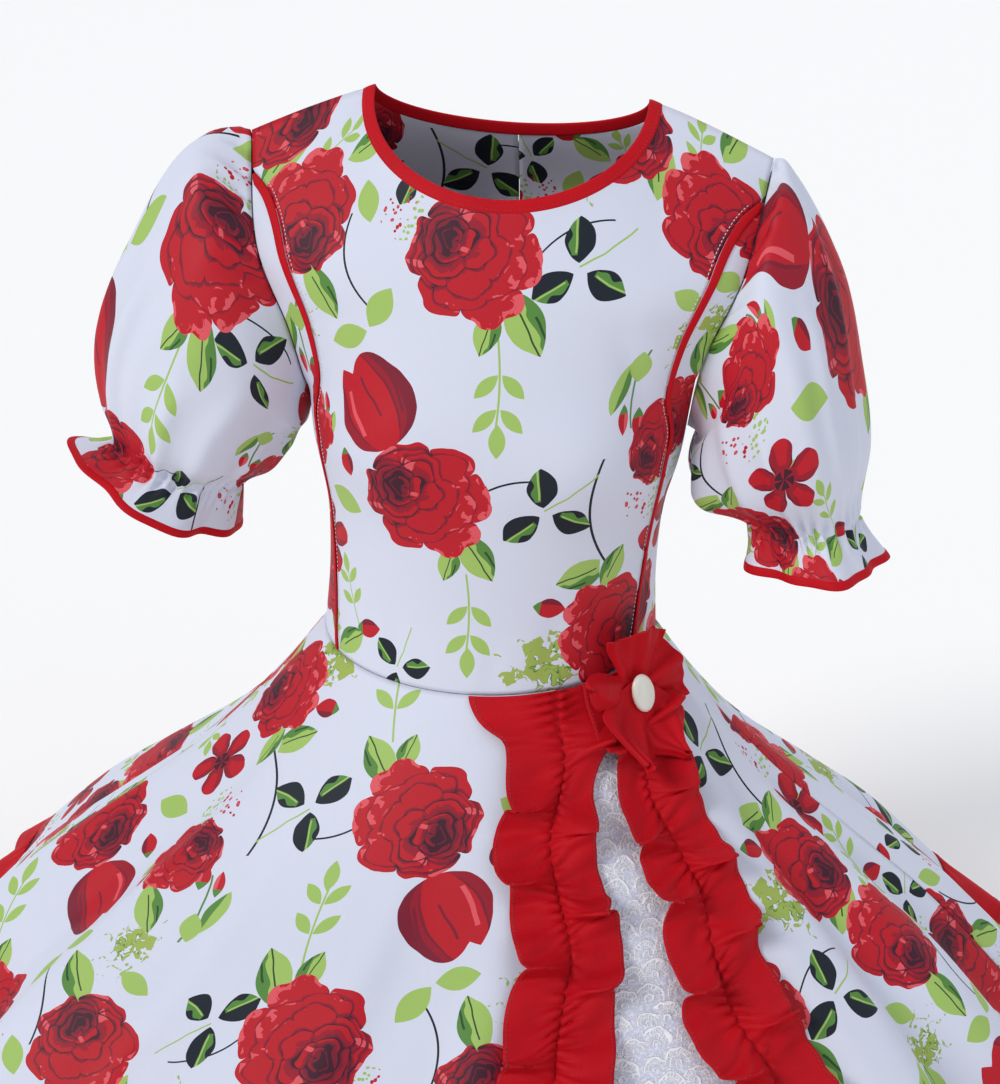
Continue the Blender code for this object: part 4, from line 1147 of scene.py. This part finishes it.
SKIRT_PANELS = (
    ("front_left", SLIT_LEFT, -PANEL_GAP, 66, 20.0, (0.023, 0.2226)),
    ("front_right", -180 + PANEL_GAP, SLIT_RIGHT, 170, 160.0, (0.0053, 0.0421)),
    ("back_left", PANEL_GAP, 90 - PANEL_GAP, 150, 10.0, (0.1025, 0.2656)),
    ("back_right", 90 + PANEL_GAP, 180 - PANEL_GAP, 150, 170.0, (0.2596, 0.096)),
)
for word, start, end, columns, laid, origin in SKIRT_PANELS:
    s, turn = np.meshgrid(np.linspace(0, 1, 98), np.linspace(start, end, columns), indexing="ij")
    normal = skirt_normal(turn, s)
    fold = skirt_folds(turn, s) * ramp(1 - s, -0.02, 0.05)
    points = skirt(turn, s) + normal * fold[..., None]
    flat = fan_out(points, laid, origin)
    piece = panel("skirt_" + word, points, flat, normal, print_cloth)
    sew(piece, ["skirt_" + word])


# The slit's inset: embroidered white tulle over a panel of pale satin lining. The tulle carries
# scallop fans, loops and short bars in a shiny thick thread, all over.
LACE_MARGIN = 7.0
LACE_TOP = 0.006
FAN_WIDE = 0.0190
FAN_HIGH = 0.0150
FAN_START = 20.0
LACE_RISE = 0.0009


def fan_height(flat):
    """Height of the embroidery from 0 to 1: staggered rows of scallops, each with an arched rim, ribs
    that spread from its foot, and a small ring, all a little uneven."""
    x, y = flat[..., 0], flat[..., 1]
    row = np.floor(y / FAN_HIGH)
    across = x / FAN_WIDE + 0.5 * (row % 2) + 0.08 * np.sin(2.1 * row) + FAN_START
    uneven = np.sin(2.4 * np.floor(across) + 3.7 * row)
    dx = (across % 1.0 - 0.5 + 0.14 * uneven) * FAN_WIDE
    dy = (y / FAN_HIGH - row - 0.08) * FAN_HIGH
    radius, swing = np.hypot(dx, dy) / (1 + 0.20 * uneven), np.arctan2(dx, dy)
    rim = np.exp(-(((radius - 0.0095) / 0.0009) ** 2))
    ribs = ramp(np.cos(13 * swing), 0.1, 0.8) * ramp(radius, 0.0030, 0.0040)
    ribs = ribs * (1 - ramp(radius, 0.0085, 0.0092))
    ring = np.exp(-(((radius - 0.0022) / 0.0008) ** 2))
    return np.clip(rim + 0.75 * ribs + ring, 0, 1)


turns = np.linspace(SLIT_RIGHT - LACE_MARGIN, SLIT_LEFT + LACE_MARGIN, 128)
s, turn = np.meshgrid(np.linspace(LACE_TOP, 1, 320), turns, indexing="ij")
normal = skirt_normal(turn, s)
below = CLOTH_WALL + LIFT + 0.0001
base = skirt(turn, s) - normal * below
flat = fan_out(base)
inside = ramp(abs(turn - (SLIT_LEFT + SLIT_RIGHT) / 2), 14.0, 12.0)
points = base + normal * (fan_height(flat) * LACE_RISE * inside)[..., None]

lace_cloth, tree, shader = new_finish("embroidered_tulle", 0.42, 0.5, 0.3)
shader.inputs["Specular IOR Level"].default_value = 0.6
at = use(tree, "ShaderNodeUVMap", ())
bend = vector(tree, "MULTIPLY", noise(tree, at, 90.0)[1], (0.0065, 0.0065, 0.0))
bent = vector(tree, "ADD", at, bend)
node = tree.nodes.new("ShaderNodeSeparateXYZ")
feed(tree, node.inputs[0], bent)
x, y = Term(tree, node.outputs[0]), Term(tree, node.outputs[1])
row = (y / FAN_HIGH).math("FLOOR")
across = x / FAN_WIDE + row.math("MODULO", 2.0) * 0.5 + (row * 2.1).math("SINE") * 0.08 + FAN_START
uneven = (across.math("FLOOR") * 2.4 + row * 3.7).math("SINE")
dx = (across.math("FRACT") - 0.5 + uneven * 0.14) * FAN_WIDE
dy = (y / FAN_HIGH - row - 0.08) * FAN_HIGH
radius = (dx * dx + dy * dy).math("SQRT") / (uneven * 0.20 + 1.0)
swing = dx.math("ARCTAN2", dy)
bars = (swing * 26).math("COSINE").within(-0.1, 0.5) * (radius > 0.0032) * (radius < 0.0088)
rim = abs(radius - 0.0095).within(0.0011, 0.0006)
inner_rim = abs(radius - 0.0062).within(0.0006, 0.0003)
ring = abs(radius - 0.0022).within(0.0008, 0.0004)
ladder = abs(radius - 0.0113).within(0.0008, 0.0005) * (swing * 20).math("SINE").within(0.0, 0.5)
thread = rim.math("MAXIMUM", bars * 0.85).math("MAXIMUM", ring).math("MAXIMUM", inner_rim)
thread = thread.math("MAXIMUM", ladder)
mesh_x = (x * 5200).math("SINE")
mesh_y = (y * 5200).math("SINE")
tulle = abs(mesh_x * mesh_y).within(0.1, 0.9) * 0.25
fleck, _ = noise(tree, at, 420.0, 1.0)
# Painted highlights: flecks of noise lightened into the base colour, standing in for glints of light off
# the shiny thread.
painted_glint = fleck.within(0.02, 0.10) * 0.45
body = (thread + tulle + painted_glint).math("MINIMUM", 1.0)
feed(tree, shader.inputs["Base Color"], chosen(tree, body, ink(204, 208, 228), ink(250, 250, 254)))
node = tree.nodes.new("ShaderNodeBump")
node.inputs["Strength"].default_value = 0.9
node.inputs["Distance"].default_value = 0.0007
feed(tree, node.inputs["Height"], thread + fleck * 0.5)
feed(tree, shader.inputs["Normal"], Term(tree, node.outputs[0]))
piece = panel("slit_lace", points, flat, normal, lace_cloth, 0.0)
sew(piece, ["slit_lace"])

satin, tree, shader = new_finish("lining_satin", 0.32, 0.1)
cloud, _ = noise(tree, use(tree, "ShaderNodeUVMap", ()), 30.0)
feed(tree, shader.inputs["Base Color"], chosen(tree, cloud + 0.5, ink(200, 202, 222), ink(216, 218, 234)))
feed(tree, shader.inputs["Normal"], weave_bump(tree, 1200.0, 0.00006))
s, turn = np.meshgrid(np.linspace(LACE_TOP, 1, 60), turns[::3], indexing="ij")
normal = skirt_normal(turn, s)
points = skirt(turn, s) - normal * (below + LIFT + TRIM_WALL)
flat = fan_out(points)
piece = panel("slit_lining", points, flat, normal, satin, TRIM_WALL)
sew(piece, ["slit_lining"])


# The hem ruffle: red poplin, gathered to about half its length and sewn to the hem in five
# lengths, with a narrow turned and topstitched edge.
HEM_RUFFLE_LONG = 0.078
HEM_WAVES = 40
HEM_WAVE_RISE = 0.011
HEM_GATHERS = 260


def hem_ruffle(turn, w):
    """The hem ruffle: it carries the skirt on past the hem in waves that grow outwards, uneven in
    height, with fine gathers that die away from the seam."""
    heading = read(FLARE, "heading", turn, "turn")
    angle = np.radians(heading)
    uneven = 1 + 0.22 * np.sin(7 * angle + 1) + 0.14 * np.sin(17 * angle)
    wander = 0.35 * np.sin(11 * angle) + 0.25 * w * np.sin(23 * angle + 2)
    wave = HEM_WAVE_RISE * np.cos(HEM_WAVES * angle + wander * ramp(w, 0, 0.4)) * (0.12 + 0.88 * w) * uneven
    gather = 0.0011 * np.cos(HEM_GATHERS * angle + 2.0 * np.sin(31 * angle)) * np.exp(-((w / 0.22) ** 2))
    length = HEM_RUFFLE_LONG / SKIRT_LONG
    one = np.ones_like(w)
    edge = skirt(turn, one)
    down = (edge - skirt(turn, one - 1e-3)) / 1e-3
    across = skirt(turn + 0.05, one) - skirt(turn - 0.05, one)
    normal = unit(np.cross(down, across))
    curl = 0.0030 * ramp(w, 0.75, 1.0) * np.cos(HEM_WAVES * angle + 1.2)
    reach = (0.0009 + w * length)[..., None] * down
    return edge + reach + normal * (wave + gather * ramp(w, 0, 0.02) + curl)[..., None]


hem_lines = []
for word, start, end in (
    ("front_left", SLIT_LEFT, 0), ("front_right", -180, SLIT_RIGHT), ("back_left", 0, 90),
    ("back_right", 90, 180), ("slit", SLIT_RIGHT, SLIT_LEFT),
):
    span = read(FLARE, "heading", np.array([start, end]), "turn")
    columns = int((span[1] - span[0]) / 360 * HEM_WAVES * 26) + 1
    w, turn = np.meshgrid(np.linspace(0, 1, 17), np.linspace(start, end, columns), indexing="ij")
    normal = -surface_normal(lambda a, b: hem_ruffle(a * 30, b), turn / 30, w)
    points = hem_ruffle(turn, w)
    flat = lay_flat(points)
    piece = panel("hem_ruffle_" + word, points, flat, normal, red_cloth)
    sew(piece, ["hem_ruffle_" + word])
    hem_lines.append((points[15] + normal[15] * STITCH_LIFT, normal[15]))
stitches("hem_topstitch", red_thread, hem_lines)


# The slit's two ruffles: red poplin strips with turned, topstitched edges, gathered on a thread
# along their middle and sewn down there, so that both edges stand up in deep uneven waves.
RUFFLE_HALF = 0.038
RUFFLE_RISE = 0.0235
RUFFLE_LIFT = 0.0012
RUFFLE_APART = 0.0230
RUFFLE_LAP = -0.014
RUFFLE_OVER = 0.0036
RUFFLE_FLARE = 0.022
RUFFLE_GATHERS = 52
RUFFLE_LEAN = 0.026
RUFFLE_NECK = 0.025
RUFFLE_START = 0.003
RUFFLE_END = 0.985
# The standing column whose length is the length of a ruffle's cut.
RUFFLE_CUT = 7
# Where the cloth stands up highest down each ruffle, on its outer and its inner side.
RUFFLE_CRESTS = {
    "left": (
        (-0.06, 0.09, 0.235, 0.385, 0.51, 0.665, 0.79, 0.925, 1.06),
        (-0.02, 0.13, 0.30, 0.42, 0.575, 0.72, 0.86, 0.99, 1.12),
    ),
    "right": (
        (-0.10, 0.05, 0.205, 0.33, 0.485, 0.64, 0.76, 0.90, 1.05),
        (-0.03, 0.10, 0.255, 0.405, 0.53, 0.69, 0.82, 0.955, 1.10),
    ),
}


def slit_ruffle(turn, word, s, w):
    """A slit ruffle at w across from its gathered line. Between its crests the cloth lies out flat, and
    at a crest it stands up in an arch, drawn in at its foot and leaning down the skirt."""
    centre = np.full_like(s, turn)
    apart = np.linalg.norm(skirt(centre * 0 + SLIT_LEFT, s) - skirt(centre * 0 + SLIT_RIGHT, s), axis=-1)
    inner = w * np.sign(SLIT_LEFT + SLIT_RIGHT - 2 * turn) > 0
    outside, inside = (np.interp(s, row, np.arange(9.0)) for row in RUFFLE_CRESTS[word])
    wave = 2 * np.pi * np.where(inner, inside, outside)
    grown = ramp(s, 0.03, 0.15) * (1 - 0.8 * ramp(s, 0.92, 0.99))
    stands = (0.5 + 0.5 * np.cos(wave)) * (0.82 + 0.18 * np.sin(1.7 * wave + 5 * s)) * grown
    arch = np.sin(abs(w) * 1.8)
    width = RUFFLE_HALF * (1.02 - 0.30 * stands + 0.05 * np.sin(11 * s + turn))
    width = width + RUFFLE_FLARE * (word == "right") * (1 - ramp(s, 0.0, 0.13)) * ~inner
    clear = RUFFLE_APART + (RUFFLE_LAP - RUFFLE_APART) * (1 - ramp(s, 0.10, 0.20))
    width = np.where(inner, np.minimum(width, (apart - clear) / 2), width)
    pace = np.linalg.norm(skirt(centre + 0.5, s) - skirt(centre - 0.5, s), axis=-1)
    lean = (RUFFLE_LEAN * stands - RUFFLE_NECK * np.sin(wave) * grown) * arch
    lift = RUFFLE_LIFT + 0.0035 * abs(w) * grown + RUFFLE_RISE * stands * arch
    lift = lift + RUFFLE_OVER * (word == "left") * inner * abs(w) * (1 - ramp(s, 0.12, 0.22))
    pinch = np.exp(-((w / (0.26 + 0.10 * np.sin(23 * s))) ** 2)) * ramp(abs(w), 0.0, 0.07)
    gather = np.cos(2 * np.pi * RUFFLE_GATHERS * s + 2.6 * np.sin(31 * s) + 2.5 * w)
    lift = lift + 0.0019 * pinch * (1 + gather) * (1.15 - 0.7 * stands)
    ripple = 0.0024 * ramp(abs(w), 0.2, 0.8) * np.cos(2.0 * wave + 0.8 + 2.4 * w + np.sin(13 * s)) * grown
    flute = 0.0012 * ramp(abs(w), 0.1, 0.5) * np.cos(4.6 * wave + 3.0 * np.sin(17 * s) + 2 * w) * grown
    across = (w * width + 0.006 * np.sin(17 * s + turn) * grown) / pace
    return skirt_shell(centre + across, s + lean, lift + ripple + flute)


ruffle_lines = []
for word, turn in (("left", SLIT_LEFT), ("right", SLIT_RIGHT)):
    levels = np.linspace(RUFFLE_START, RUFFLE_END, 560)
    s, w = np.meshgrid(levels, np.linspace(-1, 1, 35), indexing="ij")

    def surface(a, b, turn=turn, word=word):
        return slit_ruffle(turn, word, a, b)

    normal = surface_normal(surface, s, w)
    points = surface(s, w) + normal * TRIM_WALL
    flat = lay_flat(points, RUFFLE_CUT)
    piece = panel("slit_ruffle_" + word, points, flat, normal, red_cloth, TRIM_WALL)
    sew(piece, ["slit_ruffle_" + word])
    for column in (1, -2):
        ruffle_lines.append((points[:, column] + normal[:, column] * 0.0001, normal[:, column]))
stitches("ruffle_topstitch", red_thread, ruffle_lines)


# The bow at the waist: five lobes of doubled red poplin pleated into a sewn-down gathered centre,
# with an oval button of off-white plastic on top.
BOW = table(
    "heading  long    wide    rise",
    (15, 0.043, 0.023, 0.0045),
    (75, 0.044, 0.021, 0.014),
    (160, 0.056, 0.0150, 0.015),
    (-78, 0.052, 0.029, 0.024),
    (-138, 0.055, 0.031, 0.034),
)
BOW_NAMES = ("bow_wing_left", "bow_loop_left", "bow_loop_right", "bow_tail_left", "bow_tail_right")
BOW_LAYER = TRIM_WALL + 0.0005
BOW_FLAT = 0.35
BOW_TURN = -36.0
BOW_AT = 0.045
BOW_BASE = 0.0085
BOW_PLEATS = 0.0019
BUTTON_HALF = (0.0098, 0.0138)
BUTTON_TURN = -4.0

red_core, _ = mottled("red_poplin_core", 0.62, 0.2, 60.0, 3.0, (150, 8, 22), (190, 12, 28))
bpy.data.objects["bow_gather"].material_slots[0].material = red_core

turn, s = np.array([BOW_TURN]), np.array([BOW_AT])
bow_middle = skirt(turn, s)[0]
bow_left = unit((skirt(turn + 1, s) - skirt(turn - 1, s))[0])
bow_out = (skirt_shell(turn, s, 1.0) - skirt(turn, s))[0] + np.array([0, 0, -0.35])
bow_out = unit(bow_out - bow_left * np.dot(bow_out, bow_left))
bow_up = np.cross(bow_out, bow_left)


def lobe_outline(kind, along):
    """Half width of a lobe as a share of its widest: a fan spreads to its end, a loop swells and
    closes in a half circle, and a tail swells and runs to a point."""
    swell = 0.30 + 0.70 * np.sin(np.clip(along, 0, 0.85) * np.pi / 1.7)
    if kind == "fan":
        return swell * (1 + 0.34 * ramp(along, 0.4, 1.0))
    if kind == "loop":
        return swell * np.sqrt(np.clip(1 - (np.clip(along - 0.62, 0, 1) / 0.385) ** 2, 0.0, 1))
    return swell * (1 - 0.90 * ramp(along, 0.62, 1.02))


along, across = np.meshgrid(np.linspace(0, 1, 50), np.linspace(-1, 1, 39), indexing="ij")
lifted = (np.clip(along - BOW_FLAT, 0, 1) / (1 - BOW_FLAT)) ** 2
for index, (name, kind) in enumerate(zip(BOW_NAMES, ("fan", "fan", "loop", "tail", "tail"))):
    row = {column: values[index] for column, values in BOW.items()}
    swing = np.radians(row["heading"])
    ray = bow_left * np.cos(swing) + bow_up * np.sin(swing)
    cross = -bow_left * np.sin(swing) + bow_up * np.cos(swing)
    half = row["wide"] * lobe_outline(kind, along)
    puff = (0.0080 if kind == "loop" else 0.0030) * (1 - across**2) * ramp(along, 0.25, 0.6)
    puff *= 1 - ramp(along, 0.72, 1.0) * (0.9 if kind == "loop" else 0.5)
    spread = 3.4 if kind == "loop" else 5.6
    pleat = np.cos(across * spread + 1.3 * index + 0.8 * np.sin(3 * along + index))
    pleat += 0.45 * np.cos(across * 2.3 * spread + 2.1 * index)
    pleat *= BOW_PLEATS * ramp(along, 0.18, 0.45) * (0.5 + 0.9 * along) * (0.45 if kind == "loop" else 1.0)
    droop = -0.0050 * across**2 * ramp(along, 0.4, 1.0)
    high = BOW_BASE + index * BOW_LAYER + row["rise"] * lifted + pleat + puff + droop
    end = 1 + 0.06 * np.cos(2.6 * across + index) * ramp(along, 0.6, 1.0)
    reach = (along * 1.06 * end - 0.10) * row["long"]
    bend = 0.006 * np.sin(index * 2.0) * lifted
    flat_points = bow_middle + reach[..., None] * ray + (across * half + bend)[..., None] * cross
    points = flat_points + (high + TRIM_WALL)[..., None] * bow_out
    flat = lay_flat(points)
    normal = np.broadcast_to(bow_out, points.shape)
    piece = panel(name, points, flat, normal, red_cloth, TRIM_WALL)
    sew(piece, [name])

around = np.linspace(0, 2 * np.pi, 73)[:-1]
swing = np.radians(BUTTON_TURN)
long_way = bow_up * np.cos(swing) - bow_left * np.sin(swing)
short_way = bow_left * np.cos(swing) + bow_up * np.sin(swing)
BUTTON_PROFILE = table(
    "share  high",
    (0.00, 0.0000), (0.50, 0.0000), (0.90, 0.0002), (0.975, 0.0008), (1.00, 0.0017), (0.985, 0.0026),
    (0.93, 0.0034), (0.85, 0.0040), (0.74, 0.00435), (0.60, 0.00450), (0.40, 0.00460), (0.15, 0.00465),
    (0.00, 0.00465),
)
share, high = BUTTON_PROFILE["share"][:, None], BUTTON_PROFILE["high"][:, None]
base = BOW_BASE + len(BOW_NAMES) * BOW_LAYER
points = (
    bow_middle
    + (share * np.cos(around) * BUTTON_HALF[0])[..., None] * short_way
    + (share * np.sin(around) * BUTTON_HALF[1])[..., None] * long_way
    + ((base + high) * np.ones(72))[..., None] * bow_out
)
button_finish, shader = mottled("button_plastic", 0.30, 0.0, 160.0, 2.0, (214, 212, 198), (236, 235, 224))
shader.inputs["Coat Weight"].default_value = 0.35
shader.inputs["Coat Roughness"].default_value = 0.2
normal = points - (bow_middle + bow_out * (base + 0.002))
flat = np.stack(np.broadcast_arrays(around / (2 * np.pi) * 0.04, share * 0.01), -1)
flat = np.concatenate([flat, flat[:, :1] + (0.04, 0.0)], 1)
piece = panel("button", points, flat, normal, button_finish, 0.0, loop=True)
weld = piece.modifiers.new("poles", "WELD")
weld.merge_threshold = 0.00001
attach(piece, "root")
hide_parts("button")


# The concealed zip in the centre back seam: only its small slider shows, of white-enamelled metal,
# with the two seam edges topstitched beside it.
zip_metal, shader = mottled("enamelled_metal", 0.34, 0.0, 500.0, 2.0, (196, 198, 206), (226, 228, 234))
shader.inputs["Metallic"].default_value = 0.35
shader.inputs["Coat Weight"].default_value = 0.4
bpy.data.objects["zip_slider"].material_slots[0].material = zip_metal
ZIP_ASIDE = 0.034
zip_lines = []
levels = np.linspace(0.02, 0.985, 160)
for side in (1, -1):
    u = np.full_like(levels, side * ZIP_ASIDE)
    normal = bodice_normal(1, u, levels)
    zip_lines.append((bodice(1, u, levels) + normal * STITCH_LIFT, normal))
stitches("zip_topstitch", white_thread, zip_lines)
